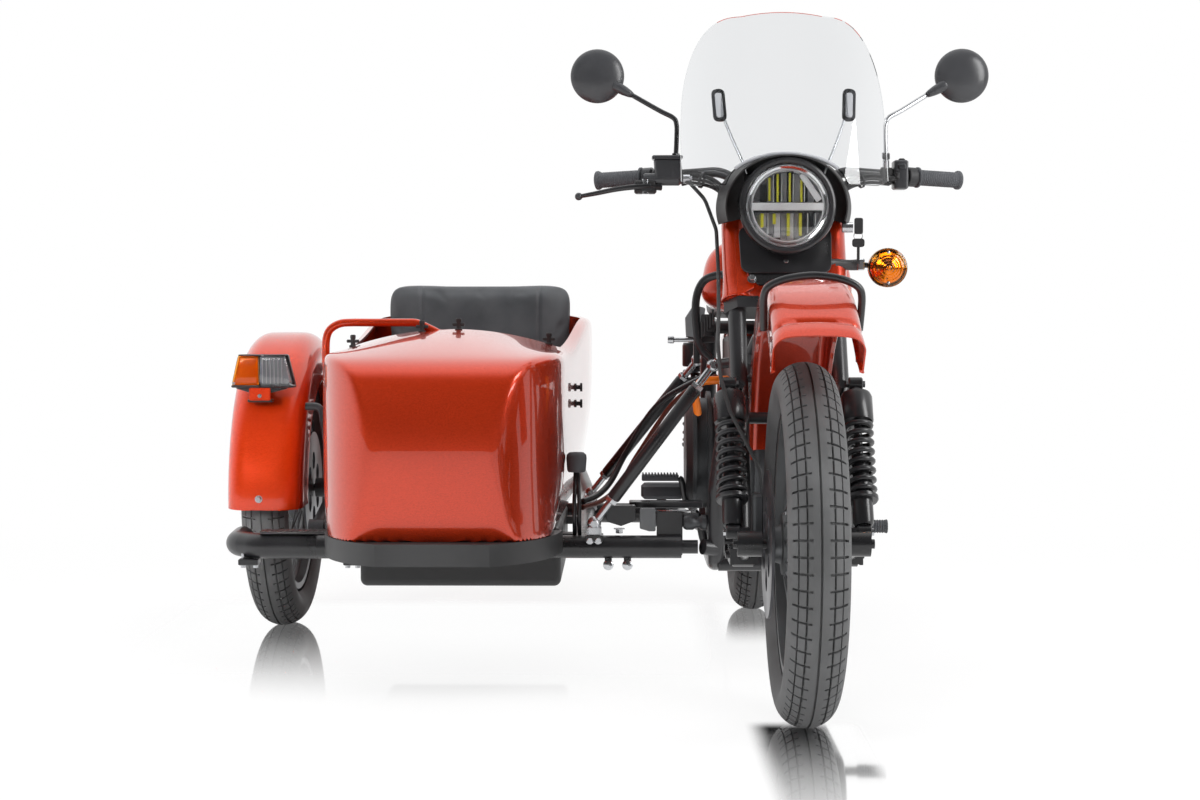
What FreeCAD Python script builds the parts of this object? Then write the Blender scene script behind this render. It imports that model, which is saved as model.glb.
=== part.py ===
"""Sidecar motorcycle: a three-wheeled electric outfit, modelled in millimetres.

The frame has +Z up, the front of the vehicle toward -Y and the sidecar toward -X.
The origin lies on the ground, at the middle of the bounding box.
"""
import FreeCAD, Part
import math
import os
import re
import Sketcher

SIZES = {
    "bike_x": 405.0,
    "rear_axle_y": 620.0,
    "wheelbase": 1500.0,
    "tyre_radius": 343.0,
    "tyre_width": 108.0,
    "tyre_height": 102.0,
    "rim_width": 66.0,
    "rim_flange": 12.0,
    "hub_radius": 42.0,
    "hub_width": 112.0,
    "spoke_radius": 2.2,
    "spoke_count": 40.0,
    "axle_radius": 9.0,
    "disc_radius": 140.0,
    "disc_thickness": 5.0,
    "disc_offset": 68.0,
    "rake": 29.0,
    "trail_offset": 170.0,
    "leg_spread": 103.0,
    "leg_radius": 19.0,
    "leg_forward": 0.0,
    "yoke_low": 915.0,
    "yoke_high": 1128.0,
    "yoke_thickness": 26.0,
    "cover_radius": 27.0,
    "stem_radius": 15.0,
    "head_radius": 25.0,
    "pivot_back": 190.0,
    "pivot_drop": 43.0,
    "shock_spread": 127.0,
    "spring_radius": 31.0,
    "spring_wire": 5.5,
    "fender_gap": 97.0,
    "fender_half": 79.0,
    "fender_wall": 3.0,
    "frame_radius": 19.0,
    "cradle_half": 135.0,
    "cradle_floor": 225.0,
    "rail_height": 745.0,
    "tank_half": 160.0,
    "tank_top": 945.0,
    "drive_radius": 142.0,
    "drive_left": 197.0,
    "drive_right": 140.0,
    "drive_height": 458.0,
    "drive_y": -670.0,
    "lamp_radius": 101.0,
    "lamp_height": 1000.0,
    "lamp_face": -1116.0,
    "bar_radius": 11.0,
    "grip_radius": 17.0,
    "grip_length": 105.0,
    "bar_half": 395.0,
    "grip_height": 1070.0,
    "grip_y": -850.0,
    "mirror_radius": 58.0,
    "screen_wall": 4.0,
    "track": 1185.0,
    "axle_lead": 278.0,
    "tub_from_wheel": 480.0,
    "tub_wall": 6.0,
    "tub_floor": 310.0,
    "skirt_low": 264.0,
    "skirt_back": -960.0,
    "lid_gap": 6.0,
    "side_tube": 25.0,
    "side_frame_z": 267.0,
    "side_fender_radius": 387.0,
    "side_fender_half": 88.5,
    "battery_half": 226.0,
    "battery_floor": 165.0,
}

WORKED_OUT = {
    "bead_radius": "=tyre_radius - tyre_height",
    "tub_x": "=tub_from_wheel - track",
}

V = FreeCAD.Vector
X_AXIS = V(1, 0, 0)
Y_AXIS = V(0, 1, 0)
Z_AXIS = V(0, 0, 1)
ALIAS = re.compile(r"\b(" + "|".join(sorted([*SIZES, *WORKED_OUT], key=len, reverse=True)) + r")\b")

doc = FreeCAD.newDocument("SidecarMotorcycle")
sheet = doc.addObject("Spreadsheet::Sheet", "Sizes")
for row, (alias, number) in enumerate([*SIZES.items(), *WORKED_OUT.items()], start=1):
    sheet.set("A%d" % row, alias)
    sheet.set("B%d" % row, str(number))
    sheet.setAlias("B%d" % row, alias)
doc.recompute()

nodes = []


def size(alias):
    """One driving dimension, read back from the sheet."""
    return float(sheet.get(alias))


BIKE_X = size("bike_x")
REAR_Y = size("rear_axle_y")
AXLE_Z = size("tyre_radius")
FRONT_Y = -size("wheelbase")
SIDE_X = -size("track")
SIDE_Y = -size("axle_lead")
TUB_X = size("tub_x")
RAKE = math.radians(size("rake"))
STEER = V(0, math.sin(RAKE), math.cos(RAKE))
AHEAD = V(0, -math.cos(RAKE), math.sin(RAKE))
PIN_RADIUS = 8.0
STEER_FOOT_Y = FRONT_Y + size("trail_offset") - AXLE_Z * math.tan(RAKE)


def at(x, y, z):
    """A point given from the bike's middle plane and the rear axle."""
    return V(BIKE_X + x, REAR_Y + y, z)


def beside(x, y, z):
    """A point given from the sidecar body's middle plane and the rear axle."""
    return at(TUB_X + x, y, z)


def on_steering(x, ahead, along):
    """A point given from the steering axis: sideways, ahead of it and up along it."""
    return at(x, STEER_FOOT_Y, 0) + AHEAD * ahead + STEER * along


def from_front_axle(x, y, z):
    """A point given from the front axle's middle."""
    return at(x, FRONT_Y + y, AXLE_Z + z)


def mirror_x(point):
    """The same point on the other side of the bike's middle plane."""
    return V(2 * BIKE_X - point.x, point.y, point.z)


def keep(label, shape):
    """Store a computed shape as one sub-part."""
    piece = doc.addObject("Part::Feature", label)
    piece.Label = label
    piece.Shape = shape
    nodes.append(piece)
    return piece


def adopt(label, piece):
    """Make a document object a sub-part."""
    piece.Label = label
    nodes.append(piece)
    return piece


def bind(piece, prop, text):
    """Tie a property to the sheet: each alias in the text becomes a reference."""
    piece.setExpression(prop, ALIAS.sub(lambda hit: "Sizes." + hit.group(0), text))


def rod(start, end, radius):
    """A round bar between two points."""
    return Part.makeCylinder(radius, start.distanceToPoint(end), start, end.sub(start))


def path(points, bend):
    """Straight runs joined by tangent arcs of one radius, smaller where a run is short."""
    edges = []
    last = points[0]
    for before, corner, after in zip(points, points[1:], points[2:]):
        into = corner.sub(before)
        out = after.sub(corner)
        turn = into.getAngle(out)
        if turn < 0.01:
            continue
        reach = bend * math.tan(turn / 2)
        reach = min(reach, 0.45 * into.Length, 0.45 * out.Length)
        radius = reach / math.tan(turn / 2)
        into.normalize()
        out.normalize()
        first = corner.sub(into * reach)
        final = corner.add(out * reach)
        inward = out.sub(into)
        inward.normalize()
        centre = corner.add(inward * (radius / math.cos(turn / 2)))
        middle = centre.sub(inward * radius)
        edges.append(Part.LineSegment(last, first).toShape())
        edges.append(Part.Arc(first, middle, final).toShape())
        last = final
    edges.append(Part.LineSegment(last, points[-1]).toShape())
    return Part.Wire(edges)


def tube(points, radius, bend=60.0):
    """A round tube's outer solid along a path."""
    line = path(points, bend)
    ring = Part.Wire(Part.makeCircle(radius, points[0], points[1].sub(points[0])))
    return line.makePipeShell([ring], True, False)


def fused(shapes):
    """All shapes as one solid."""
    whole = shapes[0].multiFuse(shapes[1:])
    return whole.removeSplitter()


def both_sides(shape):
    """A shape and its mirror image about the bike's middle plane."""
    return [shape, shape.mirror(V(BIKE_X, 0, 0), X_AXIS)]


def block(low, high):
    """A plain block between two corners."""
    return Part.makeBox(high.x - low.x, high.y - low.y, high.z - low.z, low)


def rounded(shape, radius, chosen=None):
    """A shape with its edges rounded, all of them or those a test picks."""
    edges = [edge for edge in shape.Edges if chosen is None or chosen(edge)]
    return shape.makeFillet(radius, edges)


def polygon(points):
    """A closed outline through points."""
    return Part.makePolygon(points + [points[0]])


def oval_section(x, y, half, low, high, corner):
    """A rounded rectangle across the vehicle: four lines and four arcs."""
    left = x - half
    right = x + half
    corner = min(corner, 0.49 * (high - low), 0.98 * half)
    cut = corner * (1 - math.sqrt(0.5))
    edges = [
        Part.LineSegment(V(left + corner, y, low), V(right - corner, y, low)),
        Part.Arc(V(right - corner, y, low), V(right - cut, y, low + cut), V(right, y, low + corner)),
        Part.LineSegment(V(right, y, low + corner), V(right, y, high - corner)),
        Part.Arc(V(right, y, high - corner), V(right - cut, y, high - cut), V(right - corner, y, high)),
        Part.LineSegment(V(right - corner, y, high), V(left + corner, y, high)),
        Part.Arc(V(left + corner, y, high), V(left + cut, y, high - cut), V(left, y, high - corner)),
        Part.LineSegment(V(left, y, high - corner), V(left, y, low + corner)),
        Part.Arc(V(left, y, low + corner), V(left + cut, y, low + cut), V(left + corner, y, low)),
    ]
    return Part.Wire([edge.toShape() for edge in edges])


def origin_plane(body, role):
    """One of a body's own origin planes."""
    return next(plane for plane in body.Origin.OriginFeatures if plane.Role == role)


def outline_sketch(body, name, points, arcs):
    """A closed outline in the body's XY plane. Points are pairs of expressions.

    arcs gives, for the edge that starts at a point, the radius and whether it turns left.
    """
    sketch = body.newObject("Sketcher::SketchObject", name)
    sketch.AttachmentSupport = [(origin_plane(body, "XY_Plane"), "")]
    sketch.MapMode = "FlatFace"
    values = [V(float(evaluate(across)), float(evaluate(up)), 0) for across, up in points]
    count = len(values)
    ends = []
    for index in range(count):
        start = values[index]
        end = values[(index + 1) % count]
        if index not in arcs:
            sketch.addGeometry(Part.LineSegment(start, end), False)
            ends.append((1, 2))
            continue
        radius = float(evaluate(arcs[index][0]))
        left = arcs[index][1]
        middle = (start + end) * 0.5
        chord = end.sub(start)
        rise = math.sqrt(max(radius ** 2 - (chord.Length / 2) ** 2, 0))
        side = V(-chord.y, chord.x, 0)
        side.normalize()
        centre = middle + side * (rise if left else -rise)
        first, final = (start, end) if left else (end, start)
        low = math.atan2(first.y - centre.y, first.x - centre.x)
        high = math.atan2(final.y - centre.y, final.x - centre.x)
        circle = Part.Circle(centre, Z_AXIS, radius)
        sketch.addGeometry(Part.ArcOfCircle(circle, low, high), False)
        ends.append((1, 2) if left else (2, 1))
    for index in range(count):
        following = (index + 1) % count
        sketch.addConstraint(
            Sketcher.Constraint("Coincident", index, ends[index][1], following, ends[following][0]))
    for index, (across, up) in enumerate(points):
        place = ends[index][0]
        rule = sketch.addConstraint(
            Sketcher.Constraint("DistanceX", -1, 1, index, place, values[index].x))
        bind(sketch, "Constraints[%d]" % rule, across)
        rule = sketch.addConstraint(
            Sketcher.Constraint("DistanceY", -1, 1, index, place, values[index].y))
        bind(sketch, "Constraints[%d]" % rule, up)
    for index, (radius, left) in arcs.items():
        rule = sketch.addConstraint(Sketcher.Constraint("Radius", index, float(evaluate(radius))))
        bind(sketch, "Constraints[%d]" % rule, radius)
    return sketch


def evaluate(text):
    """The number an expression gives."""
    return sheet.evalExpression(text)


def turned_body(label, points, arcs, place):
    """A piece turned about the X axis, moved to its place."""
    body = doc.addObject("PartDesign::Body", label)
    sketch = outline_sketch(body, label + "_outline", points, arcs)
    doc.recompute()
    turn = body.newObject("PartDesign::Revolution", label + "_turn")
    turn.Profile = sketch
    turn.ReferenceAxis = (sketch, ["H_Axis"])
    turn.Angle = 360
    body.Tip = turn
    for prop, text in zip(("x", "y", "z"), place):
        bind(body, "Placement.Base." + prop, text)
    return adopt(label, body)


def arch(centre, radius, half, drop, wall, start, end):
    """A mudguard: a channel section swept about a wheel axis from one angle to another.

    Angles are in degrees from the rear, upward. drop is how far the sides hang down.
    """
    corner = min(0.6 * half, 0.9 * drop, 26.0)

    def channel(out, side, deep):
        bend = corner - (radius - out)
        slope = bend * (1 - math.sqrt(0.5))
        return [
            V(-side, 0, deep),
            V(-side, 0, out - bend),
            V(-side + slope, 0, out - slope),
            V(-side + bend, 0, out),
            V(side - bend, 0, out),
            V(side - slope, 0, out - slope),
            V(side, 0, out - bend),
            V(side, 0, deep),
        ]

    outer = channel(radius, half, radius - drop)
    inner = channel(radius - wall, half - wall, radius - drop)

    def run(points):
        return [
            Part.LineSegment(points[0], points[1]).toShape(),
            Part.Arc(points[1], points[2], points[3]).toShape(),
            Part.LineSegment(points[3], points[4]).toShape(),
            Part.Arc(points[4], points[5], points[6]).toShape(),
            Part.LineSegment(points[6], points[7]).toShape(),
        ]

    edges = run(outer)
    edges.append(Part.LineSegment(outer[7], inner[7]).toShape())
    edges += run(inner)[::-1]
    edges.append(Part.LineSegment(inner[0], outer[0]).toShape())
    face = Part.Face(Part.Wire(Part.__sortEdges__(edges)))
    face.rotate(V(0, 0, 0), X_AXIS, start - 90)
    solid = face.revolve(V(0, 0, 0), X_AXIS, end - start)
    solid.translate(centre)
    return solid


def wheel_places():
    """Each wheel's name and the sheet expressions for its middle."""
    return {
        "front": ("bike_x", "rear_axle_y - wheelbase", "tyre_radius"),
        "rear": ("bike_x", "rear_axle_y", "tyre_radius"),
        "sidecar": ("bike_x - track", "rear_axle_y - axle_lead", "tyre_radius"),
    }


def make_tyres():
    """A tyre is an open ring: round crown, bulging sides and two beads on the rim."""
    points = [
        ("-rim_width / 2 + 0.5", "bead_radius + 0.5"),
        ("-rim_width / 2 + 0.5", "bead_radius + rim_flange + 1"),
        ("-tyre_width / 2", "(tyre_radius + bead_radius) / 2 + 4"),
        ("-tyre_width / 2 + 12", "tyre_radius - 24"),
        ("tyre_width / 2 - 12", "tyre_radius - 24"),
        ("tyre_width / 2", "(tyre_radius + bead_radius) / 2 + 4"),
        ("rim_width / 2 - 0.5", "bead_radius + rim_flange + 1"),
        ("rim_width / 2 - 0.5", "bead_radius + 0.5"),
        ("rim_width / 2 - 13", "bead_radius + 0.5"),
        ("tyre_width / 2 - 12", "(tyre_radius + bead_radius) / 2 + 4"),
        ("-tyre_width / 2 + 12", "(tyre_radius + bead_radius) / 2 + 4"),
        ("-rim_width / 2 + 13", "bead_radius + 0.5"),
    ]
    crown = "((tyre_width / 2 - 12)^2 + 24^2) / 48"
    hollow = "((tyre_width / 2 - 12)^2 + 33^2) / 66"
    arcs = {
        1: ("90", False),
        2: ("45", False),
        3: (crown, False),
        4: ("45", False),
        5: ("90", False),
        9: (hollow, True),
    }
    for name, place in wheel_places().items():
        turned_body(name + "_tyre", points, arcs, place)


def rim_ring():
    """The rim's turned ring: two flanges outside the tyre's beads and a well between."""
    bead = size("bead_radius")
    half = size("rim_width") / 2
    flange = size("rim_flange")
    section = [
        V(-half - 3, 0, bead - 3),
        V(-half - 3, 0, bead + flange),
        V(-half, 0, bead + flange),
        V(-half, 0, bead),
        V(-half + 16, 0, bead),
        V(-half + 20, 0, bead - 14),
        V(half - 20, 0, bead - 14),
        V(half - 16, 0, bead),
        V(half, 0, bead),
        V(half, 0, bead + flange),
        V(half + 3, 0, bead + flange),
        V(half + 3, 0, bead - 3),
        V(half - 18, 0, bead - 4),
        V(half - 22, 0, bead - 18),
        V(-half + 22, 0, bead - 18),
        V(-half + 18, 0, bead - 4),
    ]
    return Part.Face(polygon(section)).revolve(V(0, 0, 0), X_AXIS, 360)


def hub_shape():
    """The hub: a barrel with two spoke flanges, bored for the axle."""
    half = size("hub_width") / 2
    barrel = size("hub_radius")
    bore = size("axle_radius") + 0.5
    section = [
        V(-half, 0, bore),
        V(-half, 0, barrel - 8),
        V(-half + 12, 0, barrel - 4),
        V(-half + 14, 0, barrel + 16),
        V(-half + 22, 0, barrel + 16),
        V(-half + 26, 0, barrel - 10),
        V(half - 26, 0, barrel - 10),
        V(half - 22, 0, barrel + 16),
        V(half - 14, 0, barrel + 16),
        V(half - 12, 0, barrel - 4),
        V(half, 0, barrel - 8),
        V(half, 0, bore),
    ]
    return Part.Face(polygon(section)).revolve(V(0, 0, 0), X_AXIS, 360)


def spokes():
    """Crossed wire spokes from the hub's two flanges to the rim's well."""
    count = int(size("spoke_count"))
    out = size("hub_width") / 2 - 18
    low = size("hub_radius") + 10
    high = size("bead_radius") - 15
    lean = math.radians(34)
    bars = []
    for index in range(count):
        angle = 2 * math.pi * index / count
        side = 1 if index % 2 else -1
        cross = lean if (index // 2) % 2 else -lean
        start = V(side * out, low * math.cos(angle), low * math.sin(angle))
        end = V(side * 8, high * math.cos(angle + cross), high * math.sin(angle + cross))
        bars.append(rod(start, end, size("spoke_radius")))
    return bars


def make_rims():
    """Three wire wheels: rim, spokes and hub as one piece each."""
    whole = fused([rim_ring(), hub_shape()] + spokes())
    for name, middle in wheel_middles().items():
        wheel = keep(name + "_wheel_rim", whole.copy())
        wheel.Placement = FreeCAD.Placement(middle, FreeCAD.Rotation())


def wheel_middles():
    """Each wheel's name and middle."""
    return {
        "front": from_front_axle(0, 0, 0),
        "rear": at(0, 0, AXLE_Z),
        "sidecar": at(SIDE_X, SIDE_Y, AXLE_Z),
    }


def make_discs():
    """Brake discs: a flat ring on a small carrier, beside each hub."""
    thick = size("disc_thickness")
    for name, middle in wheel_middles().items():
        side = -1 if name == "front" else 1
        start = side * (size("hub_width") / 2)
        reach = side * (size("disc_offset") - size("hub_width") / 2)
        carrier = rod(middle + X_AXIS * start, middle + X_AXIS * (start + reach), 34)
        face = middle + X_AXIS * (start + reach - side * thick / 2)
        ring = rod(face, face + X_AXIS * side * thick, size("disc_radius"))
        holes = []
        for index in range(6):
            angle = math.radians(60 * index + 30)
            turn = V(0, math.cos(angle), math.sin(angle)) * 68
            holes.append(rod(face + turn - X_AXIS * 20, face + turn + X_AXIS * 20, 22))
        disc = fused([carrier, ring]).cut(Part.makeCompound(holes))
        bore = rod(middle - X_AXIS * 90, middle + X_AXIS * 90, size("axle_radius") + 0.5)
        keep(name + "_brake_disc", disc.cut(bore).removeSplitter())


def leg_points():
    """The fork leg's path: straight from the top, then swept back to the link's pivot."""
    spread = size("leg_spread")
    ahead = size("leg_forward")
    top = on_steering(spread, ahead, size("yoke_high") + 10)
    knee = on_steering(spread, ahead, 640)
    foot = from_front_axle(spread, size("pivot_back"), -size("pivot_drop"))
    return [top, knee, foot]


def make_fork():
    """Two fork legs, the upper and lower yokes and the steering stem."""
    legs = both_sides(tube(leg_points(), size("leg_radius"), 260))
    thick = size("yoke_thickness")
    ahead = size("leg_forward")
    spread = size("leg_spread")
    parts = legs
    for along in (size("yoke_low"), size("yoke_high")):
        corner = [
            on_steering(-spread, ahead + 28, along - thick),
            on_steering(spread, ahead + 28, along - thick),
            on_steering(spread + 27, ahead, along - thick),
            on_steering(spread + 16, ahead - 24, along - thick),
            on_steering(30, -26, along - thick),
            on_steering(-30, -26, along - thick),
            on_steering(-spread - 16, ahead - 24, along - thick),
            on_steering(-spread - 27, ahead, along - thick),
        ]
        parts.append(Part.Face(polygon(corner)).extrude(STEER * thick))
    parts.append(rod(on_steering(0, 0, size("yoke_low") - 10),
                     on_steering(0, 0, size("yoke_high") - 5), size("stem_radius")))
    foot = leg_points()[-1]
    parts += both_sides(rod(foot - X_AXIS * 20, foot + X_AXIS * 20, 24))
    brace = from_front_axle(size("leg_spread"), 300, 222)
    parts.append(rod(brace, mirror_x(brace), 12))
    inner = on_steering(size("fender_half") + 0.3, ahead, 735)
    outer = on_steering(spread, ahead, 735)
    parts += both_sides(rod(inner, outer, 9))
    eye = shock_ends()[1]
    stud = on_steering(spread, 0, 694)
    parts += both_sides(rod(stud, V(stud.x, eye.y, eye.z), 9))
    pin = rod(foot - X_AXIS * 300, foot + X_AXIS * 40, PIN_RADIUS + 0.3)
    keep("fork", fused(parts).cut(pin))


def turned(points, origin, direction):
    """A solid turned about a direction: points are pairs of length along it and radius."""
    section = [V(along, 0, radius) for along, radius in points]
    solid = Part.Face(polygon(section)).revolve(V(0, 0, 0), X_AXIS, 360)
    solid.Placement = FreeCAD.Placement(origin, FreeCAD.Rotation(X_AXIS, direction))
    return solid


def coil_outline(start, length, radius, wire, turns):
    """The outline of a coil spring's closed form: one ridge per turn, about a thinner core."""
    pitch = length / turns
    core = radius - wire
    outline = []
    for index in range(turns):
        middle = start + (index + 0.5) * pitch
        outline.append((middle - wire, core))
        outline.append((middle - 0.5 * wire, radius - 0.15 * wire))
        outline.append((middle + 0.5 * wire, radius - 0.15 * wire))
        outline.append((middle + wire, core))
    return outline


def shock(low, high, radius, wire, turns):
    """A spring leg along a line: body, cover, spring and an eye at each end."""
    line = high.sub(low)
    length = line.Length
    cover = 0.75 * length
    seat = radius + 1
    stem = 7
    outline = [(0, 0), (0, stem), (20, stem), (20, 0.5 * radius), (24, 0.5 * radius), (24, seat), (31, seat)]
    outline.append((31, radius - wire))
    outline += coil_outline(32, cover - 33, radius, wire, turns)
    outline += [(cover, radius - wire), (cover, seat), (length - 14, seat), (length - 14, stem)]
    outline.append((length, stem))
    outline.append((length, 0))
    leg = turned(outline, low, line)
    eyes = [rod(end - X_AXIS * 14, end + X_AXIS * 14, 14) for end in (low, high)]
    return leg.multiFuse(eyes)


def make_leading_link():
    """The link: arms from the fork's feet to the axle, and a loop behind the wheel."""
    foot = leg_points()[-1]
    spread = size("leg_spread")
    axle = from_front_axle(0, 0, 0)
    right_axle = from_front_axle(spread, 0, 0)
    parts = []
    arm_start = V(foot.x, foot.y - 32, foot.z + 5)
    parts += both_sides(rod(arm_start, right_axle, 15))
    parts += both_sides(rod(right_axle - X_AXIS * 24, right_axle + X_AXIS * 22, 24))
    for cheek in (foot.x - 27.5, foot.x + 20.5):
        corner = V(cheek, foot.y - 40, foot.z - 16)
        parts += both_sides(block(corner, corner + V(7, 80, 34)))
    parts += both_sides(rod(foot - X_AXIS * 27, foot + X_AXIS * 34, PIN_RADIUS))
    loop = [
        V(foot.x, foot.y + 33, foot.z),
        V(foot.x, foot.y + 182, foot.z + 8),
    ]
    loop += [mirror_x(point) for point in loop[::-1]]
    parts.append(tube(loop, 13, 70))
    parts += both_sides(block(foot + V(-27, -45, -14), foot + V(27, -27, 16)))
    parts += both_sides(block(foot + V(-27, 27, -14), foot + V(27, 40, 16)))
    parts.append(rod(axle - X_AXIS * (spread + 30), axle + X_AXIS * (spread + 30), size("axle_radius")))
    eye = shock_ends()[0]
    parts += both_sides(block(V(foot.x - 8, eye.y - 11, eye.z - 38), V(eye.x - 14.3, eye.y + 11, eye.z + 9)))
    keep("leading_link", fused(parts))


def shock_ends():
    """The front spring leg's lower and upper eyes, parallel to the steering axis."""
    ahead = 58
    low = on_steering(size("shock_spread"), ahead, 372)
    high = on_steering(size("shock_spread"), ahead, 694)
    return low, high


def make_front_shocks():
    """Two spring legs in front of the fork legs."""
    low, high = shock_ends()
    leg = shock(low, high, size("spring_radius"), size("spring_wire"), 9)
    keep("front_shocks", Part.makeCompound(both_sides(leg)))


def make_fork_covers():
    """Tapered covers round the fork legs between the yokes."""
    low = size("yoke_low") + 0.3
    high = size("yoke_high") - size("yoke_thickness") - 0.3
    bore = size("leg_radius") + 0.5
    big = size("cover_radius")
    start = on_steering(size("leg_spread"), size("leg_forward"), 0)
    outline = [(low, bore), (low, big - 2), (low + 30, big), (high, big + 1), (high, bore)]
    cover = turned(outline, start, STEER)
    keep("fork_covers", Part.makeCompound(both_sides(cover)))


def make_front_fender():
    """The front mudguard over the tyre, carried by the fork."""
    radius = size("tyre_radius") + size("fender_gap")
    centre = from_front_axle(0, 10, 57)
    guard = arch(centre, radius, size("fender_half"), 78, size("fender_wall"), 12, 131)
    keep("front_fender", guard)


def make_fender_rail():
    """A round rail bent over the front mudguard."""
    out = size("fender_half") + 7.5
    top = size("tyre_radius") + size("fender_gap")
    centre = from_front_axle(0, 10, 57)
    lean = math.radians(112)
    along = V(0, math.cos(lean), math.sin(lean))
    feet = centre + along * (top - 66)
    peak = centre + along * (top + 24)
    points = [
        V(BIKE_X + out, feet.y, feet.z),
        V(BIKE_X + out, peak.y, peak.z),
        V(BIKE_X - out, peak.y, peak.z),
        V(BIKE_X - out, feet.y, feet.z),
    ]
    keep("fender_rail", tube(points, 7, 60))


def make_headlamp():
    """Round headlamp: bowl, rim and lens as one turned piece, facing ahead."""
    big = size("lamp_radius")
    face = at(0, size("lamp_face"), size("lamp_height"))
    outline = [(0, 0), (0, big - 10), (6, big), (26, big), (30, big - 8), (52, big - 18)]
    outline += [(74, big - 42), (80, 0)]
    keep("headlamp", turned(outline, face, Y_AXIS))


def make_nacelle():
    """The black panel below the headlamp and the hood ring that holds it."""
    face = at(0, size("lamp_face"), size("lamp_height"))
    ring = rod(face + Y_AXIS * 12, face + Y_AXIS * 57, size("lamp_radius") + 8)
    hollow = rod(face - Y_AXIS * 10, face + Y_AXIS * 200, size("lamp_radius") + 0.3)
    outline = [
        on_steering(-24, 31, 886),
        on_steering(24, 31, 886),
        on_steering(24, 31, 950),
        on_steering(66, 31, 956),
        on_steering(73, 31, 1060),
        on_steering(-73, 31, 1060),
        on_steering(-66, 31, 956),
        on_steering(-24, 31, 950),
    ]
    panel = Part.Face(polygon(outline)).extrude(AHEAD * 16)
    lug = [on_steering(x, 28.3, along) for x, along in ((-24, 888), (24, 888), (24, 912), (-24, 912))]
    lug = Part.Face(polygon(lug)).extrude(AHEAD * 4)
    keep("headlamp_nacelle", fused([ring, panel, lug]).cut(hollow))


def bar_points():
    """The handlebar's path from its middle to the left grip's end."""
    half = size("bar_half")
    return [
        at(0, -958, 1046),
        at(70, -958, 1046),
        at(130, -940, 1082),
        at(half - 110, size("grip_y") - 42, size("grip_height") + 4),
        at(half, size("grip_y"), size("grip_height")),
    ]


def make_handlebar():
    """The bent tube and the two clamps that hold it on the upper yoke."""
    right = bar_points()
    whole = [mirror_x(point) for point in right[:0:-1]] + right[1:]
    parts = [tube(whole, size("bar_radius"), 70)]
    above = right[0].sub(on_steering(0, 0, 0))
    ahead = above.dot(AHEAD)
    along = above.dot(STEER)
    for x in (-40, 40):
        top = on_steering(x, ahead, along)
        parts.append(rod(on_steering(x, ahead, size("yoke_high") + 0.3), top, 13))
        parts.append(rod(top - X_AXIS * 14, top + X_AXIS * 14, 19))
    keep("handlebar", fused(parts))


def grip_line():
    """The left grip's inner and outer ends on the bar."""
    outer = bar_points()[-1]
    inner = bar_points()[-2]
    line = outer.sub(inner)
    line.normalize()
    return outer - line * size("grip_length"), outer, line


def make_grips():
    """Rubber grips with end flanges, bored for the bar."""
    inner, outer, line = grip_line()
    grip = fused([
        rod(inner, outer + line * 2, size("grip_radius")),
        rod(inner, inner + line * 6, size("grip_radius") + 6),
        rod(outer - line * 6, outer + line * 4, size("grip_radius") + 4),
    ])
    grip = grip.cut(rod(inner - line * 5, outer + line * 0.3, size("bar_radius") + 0.3))
    keep("grips", Part.makeCompound(both_sides(grip)))


def make_hand_controls():
    """Lever, reservoir and switch block beside the grips."""
    inner, outer, line = grip_line()
    perch = inner - line * 14
    left_perch = mirror_x(perch)
    left_line = V(-line.x, line.y, line.z)
    reservoir = rounded(block(left_perch + V(-16, -62, -18), left_perch + V(36, -17, 26)), 6)
    lever_root = left_perch + V(0, -52, 2)
    lever_tip = left_perch + left_line * 150 + V(0, -62, -18)
    lever = [rod(lever_root, lever_tip, 6), Part.makeSphere(9, lever_tip)]
    clamp = rod(left_perch - left_line * 10, left_perch + left_line * 10, 19)
    front_brake = fused([clamp, reservoir] + lever).cut(bar_bore())
    clamp = rod(perch - line * 10, perch + line * 10, 19)
    housing = rounded(block(perch + V(-20, -38, -22), perch + V(16, -14, 24)), 5)
    switch = fused([clamp, housing]).cut(bar_bore())
    keep("hand_controls", Part.makeCompound([front_brake, switch]))


def bar_bore():
    """The bar's space with a small clearance, cut from all that clamps on it."""
    right = bar_points()
    whole = [mirror_x(point) for point in right[:0:-1]] + right[1:]
    return tube(whole, size("bar_radius") + 0.3, 70)


def make_mirrors():
    """Two round mirrors on bent stems, clamped inboard of the controls."""
    big = size("mirror_radius")
    centre = at(size("bar_half") + 1, -905, 1294)
    head = turned([(0, 0), (0, big - 12), (6, big - 3), (20, big), (26, big - 2), (26, 0)], centre, Y_AXIS)
    knee = bar_points()[3]
    line = knee.sub(bar_points()[2])
    line.normalize()
    foot = knee - line * 60
    stem = tube([
        foot + V(0, -12, 0),
        foot + V(-2, -20, 60),
        foot + V(-4, -22, 112),
        centre + V(-6, 14, -20),
    ], 5.5, 14)
    clamp = rod(foot - line * 9, foot + line * 9, 17)
    mirror = fused([head, stem, clamp]).cut(bar_bore())
    keep("mirrors", Part.makeCompound(both_sides(mirror)))


SCREEN_HALF = 217.0
SCREEN_BEND = 330.0
SCREEN_LOW = 1045.0
SCREEN_TOP = 1421.0
SCREEN_SLOPE = 0.45
SCREEN_FRONT = -1128.0
SCREEN_BASE = 1020.0


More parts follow.
